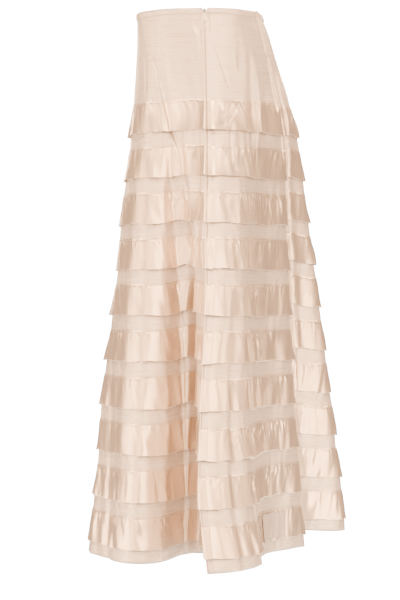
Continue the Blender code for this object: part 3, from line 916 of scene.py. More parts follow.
def fibre():
    """Loose fibres of the raw edges."""
    settings = bpy.context.scene.skirt_ribbon
    made, nodes, links, shader = new_material("raw_fibre", settings.edge_colour, 0.55)
    shaded(nodes, links, shader, speckles(nodes, 400.0), settings.edge_colour, 0.85)
    shader.inputs["Sheen Weight"].default_value = 0.2
    return made


def thread():
    """Spun sewing thread."""
    settings = bpy.context.scene.skirt_sewing
    made, nodes, links, shader = new_material("sewing_thread", settings.colour, 0.48)
    spun = speckles(nodes, 900.0)
    shaded(nodes, links, shader, spun, settings.colour, 0.86)
    add_bump(nodes, links, shader, spun, 0.00006)
    shader.inputs["Sheen Weight"].default_value = 0.15
    return made


def woven_tape():
    """The zip's tape."""
    settings = bpy.context.scene.skirt_zip
    made, nodes, links, shader = new_material("zip_tape_weave", settings.tape, 0.75)
    ribs = stretched_noise(nodes, links, (300, 1500), 2.0, 0.5)
    shaded(nodes, links, shader, ribs, settings.tape, 0.88)
    add_bump(nodes, links, shader, ribs, 0.00012)
    return made


def cast_metal():
    """Grey cast metal of the slider."""
    settings = bpy.context.scene.skirt_zip
    made, nodes, links, shader = new_material("slider_grey", settings.metal, 0.34)
    grains = speckles(nodes, 700.0)
    shaded(nodes, links, shader, grains, settings.metal, 0.7)
    roughness_range(nodes, links, shader, grains, 0.26, 0.46)
    shader.inputs["Metallic"].default_value = 0.9
    return made


def tab_enamel():
    """Ivory enamel of the pull tab."""
    settings = bpy.context.scene.skirt_zip
    made, nodes, links, shader = new_material("tab_ivory", settings.tab, 0.36)
    clouds = speckles(nodes, 350.0)
    shaded(nodes, links, shader, clouds, settings.tab, 0.9)
    roughness_range(nodes, links, shader, clouds, 0.30, 0.45)
    shader.inputs["Coat Weight"].default_value = 0.25
    return made


MAKERS = {
    "taffeta_weave": taffeta,
    "ribbon_satin": satin,
    "satin_reverse": satin_reverse,
    "raw_fibre": fibre,
    "sewing_thread": thread,
    "zip_tape_weave": woven_tape,
    "slider_grey": cast_metal,
    "tab_ivory": tab_enamel,
}


def surface_for(name):
    """A material by name, made when it is first asked for."""
    return bpy.data.materials.get(name) or MAKERS[name]()


SIDES = (("front", RIGHT_SEAM - 1.0, LEFT_SEAM), ("back", LEFT_SEAM, RIGHT_SEAM))

# How a panel's edge turns in at a seam: how far in, and how far back under the cloth
SeamTurn = namedtuple("SeamTurn", "inward under")
SEAM_TURN = (SeamTurn(0.0014, 0.0002), SeamTurn(0.0042, 0.0012))

# How the hem turns up: the share of its height, how far below the hem's line, and how far inward
HemTurn = namedtuple("HemTurn", "up below inward")
HEM_TURN = (
    HemTurn(0.0, 0.0003, 0.0007),
    HemTurn(0.0, 0.0, 0.0013),
    HemTurn(0.25, 0.0, 0.0016),
    HemTurn(0.6, 0.0, 0.0017),
    HemTurn(1.0, 0.0, 0.0017),
)


def side_shares(first, last, count, below, gap=SEAM_GAP):
    """Shares of the girth from one seam to the other at each depth, a little off both, and further off where
    the zip's slider sits."""
    spread = np.linspace(0, 1, count)
    notch = NOTCH_HALF_WIDTH * np.maximum(0.0, 1 - below / NOTCH_DEPTH)
    inset = [(gap / 2 + notch * (end == LEFT_SEAM)) / girth(below) for end in (first, last)]
    return first + inset[0] + (last - inset[1] - first - inset[0]) * spread


def turned_row(below, shares):
    """One row of a panel, with both ends turned in at the seams, and its outward and downward directions."""
    point, outward, down, side = dressed(shares, np.full(len(shares), below))
    starts = [point[0] - outward[0] * turn.inward + side[0] * turn.under for turn in SEAM_TURN[::-1]]
    ends = [point[-1] - outward[-1] * turn.inward - side[-1] * turn.under for turn in SEAM_TURN]
    extra = ((len(SEAM_TURN), len(SEAM_TURN)), (0, 0))
    directions = [np.pad(part, extra, mode="edge") for part in (outward, down)]
    return np.concatenate([starts, point, ends]), *directions


class SKIRT_OT_panels(bpy.types.Operator):
    """Make the front and back panels, with their turned seams and hem"""

    bl_idname = "skirt.panels"
    bl_label = "Panels"

    def execute(self, context):
        hem_turn = context.scene.skirt_cloth.hem_turn
        depths = np.linspace(0, LENGTH, round(LENGTH / PANEL_ROW) + 1)
        turned_in = np.array([turn.inward for turn in SEAM_TURN])
        for side_name, first, last in SIDES:
            rows = []
            places = []
            for below in depths:
                shares = side_shares(first, last, PANEL_COLUMNS, below)
                row, outward, down = turned_row(below, shares)
                way = way_round(shares, below)
                ways = np.concatenate([way[0] - turned_in[::-1], way, way[-1] + turned_in])
                rows.append(row)
                places.append(np.stack([ways, np.full(len(ways), below)], axis=-1))
            hem = rows[-1]
            hem_places = places[-1]
            for turn in HEM_TURN:
                rows.append(hem - down * (hem_turn * turn.up - turn.below) - outward * turn.inward)
                places.append(hem_places + (0.0, hem_turn * turn.up + MM))
            name = side_name + "_panel_cloth"
            piece = grid_piece(name, np.array(rows), np.array(places), surface_for("taffeta_weave"))
            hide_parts(side_name + "_panel")
        return {"FINISHED"}


# The waist edge's cross section: how far below the top each line of it lies, and its height over the cloth
WAIST_EDGE = (
    (0.0000, -0.0016),
    (-0.0003, -0.0006),
    (-0.0002, 0.0006),
    (0.0006, 0.0014),
    (0.0024, 0.0016),
    (0.0050, 0.0016),
    (0.0072, 0.0013),
    (0.0082, 0.0009),
    (0.0090, 0.0011),
    (0.0096, 0.0008),
    (0.0097, 0.0003),
)
WAIST_COLUMNS = 200
WAIST_WAVE = 0.00022
# How far the weave's pattern is moved for each further piece, so that no two pieces repeat it
WEAVE_SHIFT = 0.9


class SKIRT_OT_waist_edge(bpy.types.Operator):
    """Make the narrow tape round the top edge"""

    bl_idname = "skirt.waist_edge"
    bl_label = "Waist edge"

    def execute(self, context):
        for side_name, first, last in SIDES:
            rows = []
            places = []
            for below, height in WAIST_EDGE:
                at = max(0.0, below)
                shares = side_shares(first, last, WAIST_COLUMNS, at)
                level = np.full(WAIST_COLUMNS, at)
                way = way_round(shares, level)
                wave = WAIST_WAVE * ripples(way, level, WAIST_RIPPLES)
                point, _, down, _ = dressed(shares, level, height + wave)
                rows.append(point + down * min(0.0, below))
                places.append(np.stack([way, level + WEAVE_SHIFT], axis=-1))
            rows = np.array(rows)
            name = "waist_edge_" + side_name
            piece = grid_piece(name, rows, np.array(places), surface_for("taffeta_weave"))
            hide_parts("waist_tape_" + side_name)
        return {"FINISHED"}


def tier_top(tier):
    """How far below the waist the top edge of a tier's ribbon lies."""
    return FIRST_TIER + TIER_PITCH * (tier - 1)


def zone_share(zones, tier, way):
    """How strongly the zones of a tier hold at a way round."""
    share = np.zeros(np.shape(way))
    for zone in zones:
        if zone.first <= tier <= zone.last:
            away = (way / MM - zone.round) / zone.half_width
            share = np.maximum(share, zone.share * np.exp(-(away**4)))
    return share


# How far a ribbon's line wanders and wobbles up and down, and how far its free edge hangs slack
WANDER = 0.0005
WOBBLE = 0.0003
SLACK = 0.0006


def ribbon_drop(tier, way, down_it):
    """How much lower than its line a place of a ribbon lies, from uneven sewing and slack."""
    drop = WANDER * ripples(way, down_it, LINE_WANDER, tier)
    drop = drop + WOBBLE * ripples(way, down_it, LINE_WOBBLE, tier)
    drop = drop + SLACK * ripples(way, down_it, EDGE_SLACK, tier) * down_it / RIBBON_HEIGHT
    for sag in SAGS:
        if sag.tier == tier:
            drop = drop + sag.drop * MM * bell(way / MM - sag.round, sag.half_width)
    return drop


# Where the stitches of a ribbon lie below its top edge, and how far they pull it in
STITCH_DOWN = 0.0022
STITCH_PULL = 0.00045
STITCH_PULL_WIDTH = 0.0011

# A ribbon's height over the cloth along its top edge, its least height, and how late it flares
RIBBON_RISE = 0.0010
RIBBON_LEAST_RISE = 0.0005
FLARE_EASE = 1.35
LIFT_POWER = 3

# How far below the stitches the gathers are highest, in plain and in gathered places, and the share of the
# longer ones
GATHER_RUN = 0.004
LONG_GATHER_RUN = 0.016
LONG_GATHER_SHARE = 0.6

# How far below the stitches the waves are free, their share at the top edge, and the share of small ones
HELD_RUN = 0.018
WAVE_AT_TOP = 0.45
FREE_RIPPLE_SHARE = 0.14
RIBBON_FOLD_FADE = 0.3


def swell(past, run):
    """A height that rises to 1 at the end of a run and then dies out."""
    return past / run * np.exp(1 - past / run)


def ribbon_height(tier, way, down_it):
    """Height of a ribbon over the cloth under it: pulled in along its stitches, puckered under them, waving
    further down and standing off along its free edge."""
    settings = bpy.context.scene.skirt_ribbon
    share = down_it / RIBBON_HEIGHT
    past = np.maximum(0.0, down_it - STITCH_DOWN)
    height = RIBBON_RISE + RIBBON_FLARE * share**FLARE_EASE
    height = height - STITCH_PULL * bell(down_it - STITCH_DOWN, STITCH_PULL_WIDTH)
    gathered = zone_share(GATHERED, tier, way)
    spread = patches(way, 0 * down_it, GATHERED_PATCHES, tier)
    gathers = ripples(way, down_it, GATHERS, tier) * np.maximum(spread, gathered)
    reaching = LONG_GATHER_SHARE * gathered * swell(past, LONG_GATHER_RUN)
    height = height + settings.pucker * gathers * (swell(past, GATHER_RUN) + reaching)
    height = height + LIFTED_EDGE * zone_share(LIFTED, tier, way) * share**LIFT_POWER
    waves = ripples(way, down_it, FREE_WAVES, tier) * (WAVE_AT_TOP + (1 - WAVE_AT_TOP) * share)
    waves = waves + FREE_RIPPLE_SHARE * ripples(way, down_it, FREE_RIPPLES, tier)
    lively = 1 - zone_share(CALM, tier, way)
    height = height + settings.wave * lively * waves * np.minimum(1.0, past / HELD_RUN)
    for fold in RIBBON_FOLDS:
        if fold.tier == tier:
            height = height + line_fold(way, down_it, fold, 0.0, RIBBON_FOLD_FADE) * MM
    return np.maximum(height, RIBBON_LEAST_RISE)


def ribbon_points(tier, shares, down_it, lift=0.0):
    """Points of a ribbon with its directions, for shares of the girth and depths down the ribbon."""
    top = tier_top(tier)
    way = way_round(shares, top + down_it)
    below = top + down_it + ribbon_drop(tier, way, down_it)
    height = ribbon_height(tier, way, down_it) + lift
    return dressed(shares, below, height)


# How far the back ribbon's raw end pokes past the left seam in each tier, in millimetres, the share of that
# at its top edge, and how much the end rises on the way
POKES = (0.0, 0.0, 0.6, 0.8, 1.4, 1.2, 1.8, 2.6, 2.2, 2.8)
POKE_AT_TOP = 0.4
POKE_RISE = 0.25
RIBBON_SEAM_GAP = 0.0006

# The lines of a ribbon that lie close together about its stitches, and where its even rows start
CLOSE_ROWS = (0.0, 0.0011, STITCH_DOWN, 0.0034)
EVEN_ROWS_START = 0.0046


class SKIRT_OT_ribbons(bpy.types.Operator):
    """Make the ten tiers of satin ribbon"""

    bl_idname = "skirt.ribbons"
    bl_label = "Ribbons"

    def execute(self, context):
        down_it = np.concatenate([CLOSE_ROWS, np.linspace(EVEN_ROWS_START, RIBBON_HEIGHT, RIBBON_ROWS)])
        for tier in range(1, TIERS + 1):
            top = tier_top(tier)
            for side_name, first, last in SIDES:
                count = round(float(girth(top)) * (last - first) / RIBBON_COLUMN)
                shares = side_shares(first, last, count, top, RIBBON_SEAM_GAP)
                grid_shares, grid_down = np.meshgrid(shares, down_it)
                point, outward, _, side = ribbon_points(tier, grid_shares, grid_down)
                way = way_round(grid_shares, top + grid_down)
                if side_name == "back" and POKES[tier - 1] > 0:
                    reach = POKE_AT_TOP + (1 - POKE_AT_TOP) * grid_down[:, :1] / RIBBON_HEIGHT
                    poke = POKES[tier - 1] * MM * reach
                    aside = outward[:, :1] * POKE_RISE - side[:, :1]
                    point = np.concatenate([point[:, :1] + aside * poke[..., None], point], axis=1)
                    way = np.concatenate([way[:, :1] - poke, way], axis=1)
                    grid_down = np.concatenate([grid_down[:, :1], grid_down], axis=1)
                name = f"ribbon_{tier:02d}_{side_name}"
                places = np.stack([way, grid_down + WEAVE_SHIFT * tier], axis=-1)
                piece = grid_piece(name + "_satin", point, places, surface_for("ribbon_satin"))
                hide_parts(name)
        return {"FINISHED"}


def three_corners(points, along, aside, radius):
    """Corners of three-sided fibres that run along a direction, one row for each side."""
    across = unit(np.cross(along, aside))
    third = np.cross(along, across)
    turns = (2 * math.pi / 3 * corner for corner in range(3))
    return [points + (across * math.cos(turn) + third * math.sin(turn)) * radius for turn in turns]


def spikes(name, roots, tips, sides, width, surface):
    """Many tapering fibres in one mesh, each of three sides from a root to a tip."""
    corners = three_corners(roots, unit(tips - roots), sides, width / 2)
    points = np.stack([*corners, tips], axis=1).reshape(-1, 3)
    first = np.arange(len(roots))[:, None] * 4
    faces = np.concatenate([first + np.array(face) for face in ((0, 1, 3), (1, 2, 3), (2, 0, 3))])
    small_parts(name, points, faces.tolist(), surface)


def strand(name, points, outward, radius, surface):
    """One closed thread through a ring of points, of three sides."""
    along = unit(np.roll(points, -1, axis=0) - np.roll(points, 1, axis=0))
    corners = three_corners(points, along, outward, radius[:, None])
    here = np.arange(len(points)) * 3
    after = np.roll(here, -1)
    edges = ((0, 1), (1, 2), (2, 0))
    faces = [np.stack([here + a, after + a, after + b, here + b], axis=1) for a, b in edges]
    joined = np.stack(corners, axis=1).reshape(-1, 3)
    small_parts(name, joined, np.concatenate(faces).tolist(), surface)


# The loose fibres along a ribbon's raw edge: how far apart they stand, how wide each is and how far above
# the edge it is rooted. Their length is the setting's, times a share that grows in loose and worn places, and
# they lean aside and outward by chance.
FRAY_SEED = 500
FRAY_STEP = 0.0010
FRAY_PLACES = (0.2, 0.8)
FRAY_WIDTH = 0.00022
FRAY_ROOT = 0.0002
FRAY_LEAST = 0.45
FRAY_LOOSE = 0.6
FRAY_LENGTHS = (0.35, 1.3)
FRAY_ASIDE = (0, 0.35)
FRAY_OUTWARD = (0.12, 0.22)

# The thread that has worked loose along each raw edge: its step, its radius, how far it swings up and down,
# how far it may hang below the edge, and its height over the ribbon. least is how worn any edge may be.
STRAND_STEP = 0.0024
STRAND_RADIUS = 0.00050
STRAND_RADII = (0.75, 1.25)
STRAND_THIN = 0.30
STRAND_SWING = 0.0005
STRAND_STEADY = 0.3
STRAND_OVERHANG = 0.0006
STRAND_RISE = 0.0002
STRAND_LEAST_WORN = 0.35


class SKIRT_OT_fray(bpy.types.Operator):
    """Make the loose fibres and threads of the ribbons' raw lower edges"""

    bl_idname = "skirt.fray"
    bl_label = "Frayed edges"

    def edge_strand(self, tier, rng):
        """A thread that has worked loose along the raw edge, thicker where the edge is more worn."""
        count = round(float(girth(tier_top(tier))) / STRAND_STEP)
        shares = LEFT_SEAM + np.arange(count) / count
        way = way_round(shares, tier_top(tier) + RIBBON_HEIGHT)
        little = STRAND_LEAST_WORN * patches(way, 0 * way, STRAND_PATCHES, tier)
        worn = np.maximum(zone_share(WORN, tier, way), little)
        swing = STRAND_SWING * rng.normal(0, 1, count) * (STRAND_STEADY + worn)
        down_it = np.minimum(RIBBON_HEIGHT - FRAY_ROOT + swing, RIBBON_HEIGHT + STRAND_OVERHANG)
        point, outward = ribbon_points(tier, shares, down_it, STRAND_RISE)[:2]
        radius = STRAND_RADIUS * (STRAND_THIN + worn) * rng.uniform(*STRAND_RADII, count)
        strand(f"ribbon_edge_thread_{tier:02d}", point, outward, radius, surface_for("raw_fibre"))

    def execute(self, context):
        settings = context.scene.skirt_ribbon
        for tier in range(1, TIERS + 1):
            rng = np.random.default_rng(FRAY_SEED + tier)
            count = round(float(girth(tier_top(tier))) / FRAY_STEP)
            shares = LEFT_SEAM + (np.arange(count) + rng.uniform(*FRAY_PLACES, count)) / count
            down_it = np.full(count, RIBBON_HEIGHT - FRAY_ROOT)
            point, outward, down, side = ribbon_points(tier, shares, down_it)
            way = way_round(shares, tier_top(tier) + down_it)
            loose = patches(way, 0 * way, LOOSE_PATCHES, tier) ** 2 + zone_share(WORN, tier, way)
            length = settings.fray * (FRAY_LEAST + FRAY_LOOSE * loose) * rng.uniform(*FRAY_LENGTHS, count)
            swing = rng.normal(*FRAY_ASIDE, count)
            out = rng.normal(*FRAY_OUTWARD, count)
            lean = down + side * swing[:, None] + outward * out[:, None]
            tips = point + lean * length[:, None]
            spikes(f"ribbon_fray_{tier:02d}", point, tips, side, FRAY_WIDTH, surface_for("raw_fibre"))
            self.edge_strand(tier, rng)
        return {"FINISHED"}


# The corner of the lowest ribbon that is turned over: where it lies round the skirt and down the ribbon, how
# finely it is laid out, how ragged it is, the tongue that hangs at its start, its height and its fringe
# The turned corner's darker, cooler colour is a painted lilac-grey sheen.
CORNER_TIER = 10
CORNER_START = 0.245
CORNER_END = 0.330
CORNER_TOP = 0.0040
CORNER_BOTTOM = 0.0450
CORNER_COLUMNS = 44
CORNER_ROWS = 16
CORNER_RAGGED = 0.0009
CORNER_TONGUE = 0.007
CORNER_TONGUE_WIDTH = 0.012
CORNER_LIFT = 0.0011
CORNER_BULGE = 0.6
CORNER_FRINGE = 0.0050
CORNER_FRINGE_WIDTH = 1.6 * FRAY_WIDTH
CORNER_FRINGE_LENGTHS = (0.2, 1.0)
CORNER_FRINGE_ASIDE = (0, 0.5)
CORNER_FRINGE_OUTWARD = (0.15, 0.25)

# The tangle of threads: where it is, how many there are, and how they spread
KNOT_TIER = 8
KNOT_WAY = 0.100
KNOT_SPREAD = 0.006
KNOT_ABOVE = 0.0008
KNOT_THREADS = 70
KNOT_LENGTH = 0.0075
KNOT_WIDTH = 1.8 * FRAY_WIDTH
KNOT_LENGTHS = (0.3, 1.0)
KNOT_TURN = 0.9 * math.pi
KNOT_OUTWARD = (0.15, 0.5)


WORN_SEED = 61


class SKIRT_OT_worn(bpy.types.Operator):
    """Make the turned-over corner of the lowest ribbon, coloured with a painted sheen, and the tangle of
    threads on the eighth
    """

    bl_idname = "skirt.worn"
    bl_label = "Worn places"

    def turned_corner(self, rng):
        """The turned-over corner, with the fringe round it; its colour is a painted lilac-grey sheen."""
        ways = np.linspace(CORNER_START, CORNER_END, CORNER_COLUMNS)
        ragged = rng.normal(0, CORNER_RAGGED, CORNER_COLUMNS)
        bottom = CORNER_BOTTOM + ragged + CORNER_TONGUE * bell(ways - CORNER_START, CORNER_TONGUE_WIDTH)
        top = CORNER_TOP + np.abs(ragged)
        spread = np.linspace(0, 1, CORNER_ROWS)[:, None]
        down_it = top + (bottom - top) * spread
        way = np.broadcast_to(ways, down_it.shape)
        shares = share_of(way, tier_top(CORNER_TIER) + down_it)
        lift = CORNER_LIFT * (1 + CORNER_BULGE * ripples(way, down_it, CORNER_RIPPLES) * spread)
        parts = ribbon_points(CORNER_TIER, shares, down_it, lift)
        places = np.stack([way, down_it], axis=-1)
        # The corner's material paints a lilac-grey sheen into its colour.
        piece = grid_piece("ribbon_10_turned_corner", parts[0], places, surface_for("satin_reverse"))

        edges = [np.concatenate([part[-1], part[-1], part[:, 0], part[:, -1]]) for part in parts]
        root, outward, down, side = edges
        swing = rng.normal(*CORNER_FRINGE_ASIDE, len(root))[:, None]
        out = rng.normal(*CORNER_FRINGE_OUTWARD, len(root))[:, None]
        length = (CORNER_FRINGE * rng.uniform(*CORNER_FRINGE_LENGTHS, len(root)))[:, None]
        tips = root + (down + side * swing + outward * out) * length
        spikes("ribbon_10_corner_fray", root, tips, side, CORNER_FRINGE_WIDTH, surface_for("raw_fibre"))

    def tangle(self, rng):
        """The tangle of threads at a raw edge."""
        way = rng.normal(KNOT_WAY, KNOT_SPREAD, KNOT_THREADS)
        down_it = np.full(KNOT_THREADS, RIBBON_HEIGHT - KNOT_ABOVE)
        shares = share_of(way, tier_top(KNOT_TIER) + down_it)
        point, outward, down, side = ribbon_points(KNOT_TIER, shares, down_it, STRAND_RISE)
        turn = rng.uniform(-KNOT_TURN, KNOT_TURN, KNOT_THREADS)[:, None]
        length = (KNOT_LENGTH * rng.uniform(*KNOT_LENGTHS, KNOT_THREADS))[:, None]
        out = rng.uniform(*KNOT_OUTWARD, KNOT_THREADS)[:, None]
        tips = point + (down * np.cos(turn) + side * np.sin(turn) + outward * out) * length
        spikes("ribbon_08_tangle", point, tips, side, KNOT_WIDTH, surface_for("raw_fibre"))

    def execute(self, context):
        rng = np.random.default_rng(WORN_SEED)
        self.turned_corner(rng)
        self.tangle(rng)
        return {"FINISHED"}


# A stitch's two rings of four corners: how far each is from its middle, as a share of half its length, and
# their size and their place over the cloth as shares of half its width
STITCH_RINGS = (-0.62, 0.62)
STITCH_SIZE = 0.975
STITCH_PLACE = -0.1
STITCH_CORNERS = 4


def stitch_faces():
    """Faces of one stitch: point 0 is its start, 1 to 4 and 5 to 8 its rings and 9 its end."""
    faces = []
    for here in range(STITCH_CORNERS):
        after = (here + 1) % STITCH_CORNERS
        faces.append((0, 1 + after, 1 + here))
        faces.append((1 + here, 1 + after, 5 + after, 5 + here))
        faces.append((9, 5 + here, 5 + after))
    return faces


def stitches(name, centres, along, outward, surface, half, wide):
    """Many stitches in one mesh: each a short rounded length of thread, sunk at both ends. half is half its
    length and wide half its width."""
    across = np.cross(outward, along)
    points = [centres - along * half - outward * wide]
    for place in STITCH_RINGS:
        middle = centres + along * half * place + outward * wide * STITCH_PLACE
        for corner in range(STITCH_CORNERS):
            turn = 2 * math.pi * corner / STITCH_CORNERS
            offset = across * math.cos(turn) + outward * math.sin(turn)
            points.append(middle + offset * wide * STITCH_SIZE)
    points.append(centres + along * half - outward * wide)
    first = np.arange(len(centres))[:, None] * len(points)
    faces = [corners for face in stitch_faces() for corners in (first + np.array(face)).tolist()]
    small_parts(name, np.stack(points, axis=1).reshape(-1, 3), faces, surface)


# How much of a stitch shows, where the waist's and the hem's stitches lie, how far the lines keep from the
# seams, and their heights over the cloth
STITCH_SHOWS = 0.8
WAIST_STITCHES = 0.0082
HEM_STITCHES = 0.0105
WAIST_KEEP_OFF = 0.004
SEAM_KEEP_OFF = 0.001
WAIST_THREAD_HEIGHT = 0.0013
RIBBON_THREAD_HEIGHT = 0.00012
HEM_THREAD_HEIGHT = 0.0001


def stitch_shares(below, keep_off):
    """Shares of the girth at the middle of each stitch of a line round the skirt."""
    settings = bpy.context.scene.skirt_sewing
    count = round(float(girth(below)) / settings.stitch)
    shares = LEFT_SEAM + (np.arange(count) + 0.5) / count
    away = np.abs(way_round(shares, below))
    return shares[away > keep_off]


class SKIRT_OT_sewing(bpy.types.Operator):
    """Make the stitches of the waist edge, the ribbons and the hem"""

    bl_idname = "skirt.sewing"
    bl_label = "Sewing"

    def sew(self, name, places, slot):
        """The stitches of a line, from its points and its directions there."""
        settings = bpy.context.scene.skirt_sewing
        point, outward, _, side = places
        half = settings.stitch * STITCH_SHOWS / 2
        stitches(name, point, side, outward, surface_for("sewing_thread"), half, settings.thread / 2)

    def execute(self, context):
        shares = stitch_shares(WAIST_STITCHES, WAIST_KEEP_OFF)
        level = np.full(len(shares), WAIST_STITCHES)
        self.sew("waist_stitches", dressed(shares, level, WAIST_THREAD_HEIGHT), "taffeta")

        lines = []
        for tier in range(1, TIERS + 1):
            shares = stitch_shares(tier_top(tier), SEAM_KEEP_OFF)
            down_it = np.full(len(shares), STITCH_DOWN)
            lines.append(ribbon_points(tier, shares, down_it, RIBBON_THREAD_HEIGHT))
        self.sew("ribbon_stitches", [np.concatenate(parts) for parts in zip(*lines)], "satin")

        below = LENGTH - HEM_STITCHES
        shares = stitch_shares(below, SEAM_KEEP_OFF)
        level = np.full(len(shares), below)
        self.sew("hem_stitches", dressed(shares, level, HEM_THREAD_HEIGHT), "taffeta")
        return {"FINISHED"}


# The zip's coil: the length of a pair of teeth, half a tooth's length, its wire's width, where the coil
# starts and stops, how far behind the cloth it lies, and how far each tooth lies aside and slants
COIL_PITCH = 0.0012
COIL_HALF = 0.0012
COIL_WIRE = 0.0006
COIL_START = 0.011
COIL_STOP = 0.004
COIL_BEHIND = 0.0026
COIL_ASIDE = 0.0005
COIL_SLANT = 0.12

# The zip's tapes: where they start, their width and the gap between them, and how far they lie behind the
# smooth cloth and at least behind the creased cloth
TAPE_START = 0.0015
TAPE_WIDTH = 0.0105
TAPE_MIDDLE_GAP = 0.0002
TAPE_BEHIND = 0.0021
TAPE_CLEAR = 0.0019
TAPE_ROWS = 60
TAPE_COLUMNS = 7


class SKIRT_OT_zip(bpy.types.Operator):
    """Make the zip's tapes and teeth, and finish its slider and pull tab"""

    bl_idname = "skirt.zip"
    bl_label = "Zip"

    def tape(self, side_name, turn):
        """One tape, behind the cloth beside the seam. turn is -1 for the front and 1 for the back."""
        depths = np.linspace(TAPE_START, ZIP_END, TAPE_ROWS)
        ways = np.sort(turn * np.linspace(TAPE_MIDDLE_GAP, TAPE_WIDTH, TAPE_COLUMNS))
        below, way = np.meshgrid(depths, ways, indexing="ij")
        shares = share_of(way, below)
        creased = dressed(shares, below, -TAPE_CLEAR)[0]
        smooth, outward = cloth_frame(shares, below)[:2]
        inner = smooth - outward * TAPE_BEHIND
        sunk = np.minimum(0.0, np.einsum("rck,rck->rc", creased - inner, outward))
        inner = inner + outward * sunk[..., None]
        places = np.stack([way, below], axis=-1)
        piece = grid_piece("zip_tape_cloth_" + side_name, inner, places, surface_for("zip_tape_weave"))
        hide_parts("zip_tape_" + side_name)

    def coil(self):
        """The closed coil of teeth behind the seam."""
        below = np.arange(COIL_START, ZIP_END - COIL_STOP, COIL_PITCH / 2)
        point, outward, down, side = cloth_frame(np.full(len(below), LEFT_SEAM), below)
        aside = np.where(np.arange(len(below)) % 2 == 0, COIL_ASIDE, -COIL_ASIDE)
        centres = point - outward * COIL_BEHIND + side * aside[:, None]
        across = unit(side + down * COIL_SLANT)
        surface = surface_for("zip_tape_weave")
        stitches("zip_teeth", centres, across, -outward, surface, COIL_HALF, COIL_WIRE / 2)

    def execute(self, context):
        self.tape("front", -1)
        self.tape("back", 1)
        self.coil()
        for name, finish in (("zip_slider", "slider_grey"), ("zip_pull_tab", "tab_ivory")):
            bpy.data.objects[name].material_slots[0].material = surface_for(finish)
        return {"FINISHED"}


# The camera, level with the skirt's lower middle, and the picture it is set up for
CAMERA_HEIGHT = -0.459
FOCAL_PIXELS = 2480.0
IMAGE_HEIGHT = 600
SENSOR = 36.0

# The round floor and the white behind it, and the point that the lights face
FLOOR = -1.06
FLOOR_RADIUS = 0.94
FLOOR_SIDES = 96
FLOOR_ROUGHNESS = 0.9
BACKDROP_COLOUR = (1.0, 1.0, 1.0)
LIT_MIDDLE = (0.0, 0.0, -0.42)

# The softboxes, all aimed at the skirt's middle. turn is how far round each stands from the camera's side,
# in degrees, plus over the skirt's back; away and up are its distance and its height over the middle, in
# metres, wide and tall its size and power its watts.
Softbox = namedtuple("Softbox", "name turn away up wide tall power")
SOFTBOXES = (
    Softbox("key", 26, 4.0, 1.7, 3.6, 1.8, 420.0),
    Softbox("top", -15, 2.6, 4.0, 1.6, 1.4, 430.0),
    Softbox("right", 74, 4.0, 0.95, 1.2, 0.9, 105.0),
    Softbox("low", 92, 3.0, -0.70, 1.5, 0.7, 90.0),
    Softbox("side", -88, 3.8, 0.1, 4.6, 1.4, 330.0),
    Softbox("near side", -38, 4.0, 0.9, 2.6, 1.6, 150.0),
    Softbox("back", 180, 3.4, 1.2, 2.4, 2.4, 300.0),
    Softbox("back side", 145, 3.6, 2.6, 1.2, 1.4, 90.0),
)


def softbox(spec, settings):
    """One of the softboxes."""
    light = bpy.data.lights.new(spec.name, "AREA")
    light.shape = "RECTANGLE"
    light.size = spec.wide
    light.size_y = spec.tall
    light.energy = spec.power * settings.light_power
    light.color = settings.light_colour
    made = bpy.data.objects.new(spec.name, light)
    turn = math.radians(spec.turn)
    offset = Vector((spec.away * math.cos(turn), spec.away * math.sin(turn), spec.up))
    made.location = Vector(LIT_MIDDLE) + offset
    made.rotation_euler = (-offset).to_track_quat("-Z", "Y").to_euler()
    bpy.context.scene.collection.objects.link(made)


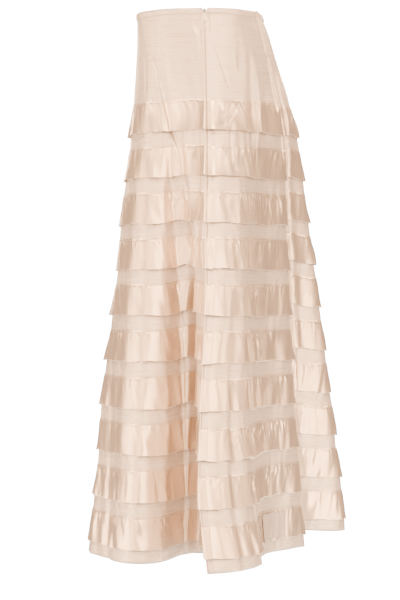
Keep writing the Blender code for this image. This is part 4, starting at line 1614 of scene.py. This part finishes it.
class SKIRT_OT_studio(bpy.types.Operator):
    """Make the floor, the lights and the camera"""

    bl_idname = "skirt.studio"
    bl_label = "Studio"

    def execute(self, context):
        settings = context.scene.skirt_studio
        paper = new_material("backdrop_paper", settings.backdrop, FLOOR_ROUGHNESS)[0]
        turns = np.linspace(0, 2 * math.pi, FLOOR_SIDES, endpoint=False)
        level = np.full(FLOOR_SIDES, FLOOR)
        rim = np.stack([np.cos(turns) * FLOOR_RADIUS, np.sin(turns) * FLOOR_RADIUS, level], axis=1)
        mesh = bpy.data.meshes.new("floor")
        mesh.from_pydata(rim.tolist(), [], [tuple(range(FLOOR_SIDES))])
        mesh.materials.append(paper)
        floor = bpy.data.objects.new("floor", mesh)
        context.scene.collection.objects.link(floor)

        world = bpy.data.worlds.new("studio")
        world.use_nodes = True
        nodes = world.node_tree.nodes
        links = world.node_tree.links
        rays = nodes.new("ShaderNodeLightPath")
        strength = nodes.new("ShaderNodeMapRange")
        strength.inputs["To Min"].default_value = settings.room_light
        strength.inputs["To Max"].default_value = settings.backdrop_light
        links.new(rays.outputs["Is Camera Ray"], strength.inputs["Value"])
        links.new(strength.outputs["Result"], nodes["Background"].inputs["Strength"])
        tint = nodes.new("ShaderNodeMix")
        tint.data_type = "RGBA"
        tint.inputs["A"].default_value = (*settings.room_colour, 1.0)
        tint.inputs["B"].default_value = (*BACKDROP_COLOUR, 1.0)
        links.new(rays.outputs["Is Camera Ray"], tint.inputs["Factor"])
        links.new(tint.outputs["Result"], nodes["Background"].inputs["Color"])
        context.scene.world = world

        for spec in SOFTBOXES:
            softbox(spec, settings)

        camera = bpy.data.cameras.new("camera")
        camera.sensor_fit = "VERTICAL"
        camera.sensor_height = SENSOR
        camera.lens = FOCAL_PIXELS / IMAGE_HEIGHT * SENSOR
        made = bpy.data.objects.new("camera", camera)
        made.location = (settings.camera_distance, 0.0, CAMERA_HEIGHT)
        made.rotation_euler = (math.pi / 2, 0.0, math.pi / 2)
        context.scene.collection.objects.link(made)
        context.scene.camera = made
        return {"FINISHED"}


STEPS = (
    SKIRT_OT_panels,
    SKIRT_OT_waist_edge,
    SKIRT_OT_ribbons,
    SKIRT_OT_fray,
    SKIRT_OT_worn,
    SKIRT_OT_sewing,
    SKIRT_OT_zip,
    SKIRT_OT_studio,
)
GROUPS = (
    ("skirt_cloth", ClothSettings),
    ("skirt_ribbon", RibbonSettings),
    ("skirt_sewing", SewingSettings),
    ("skirt_zip", ZipSettings),
    ("skirt_studio", StudioSettings),
)


class SKIRT_PT_tools(bpy.types.Panel):
    """The skirt's sizes, colours and steps"""

    bl_label = "Ribbon Tier Skirt"
    bl_idname = "SKIRT_PT_tools"
    bl_space_type = "VIEW_3D"
    bl_region_type = "UI"
    bl_category = "Skirt"

    def draw(self, context):
        for name, group in GROUPS:
            box = self.layout.box()
            for field in group.__annotations__:
                box.prop(getattr(context.scene, name), field)
        for step in STEPS:
            self.layout.operator(step.bl_idname)


def register():
    for name, group in GROUPS:
        bpy.utils.register_class(group)
        setattr(bpy.types.Scene, name, PointerProperty(type=group))
    for item in (*STEPS, SKIRT_PT_tools):
        bpy.utils.register_class(item)


def unregister():
    for item in (*STEPS, SKIRT_PT_tools):
        bpy.utils.unregister_class(item)
    for name, group in GROUPS:
        delattr(bpy.types.Scene, name)
        bpy.utils.unregister_class(group)


def main():
    register()
    for step in STEPS:
        group, name = step.bl_idname.split(".")
        getattr(getattr(bpy.ops, group), name)()


if __name__ == "__main__":
    main()
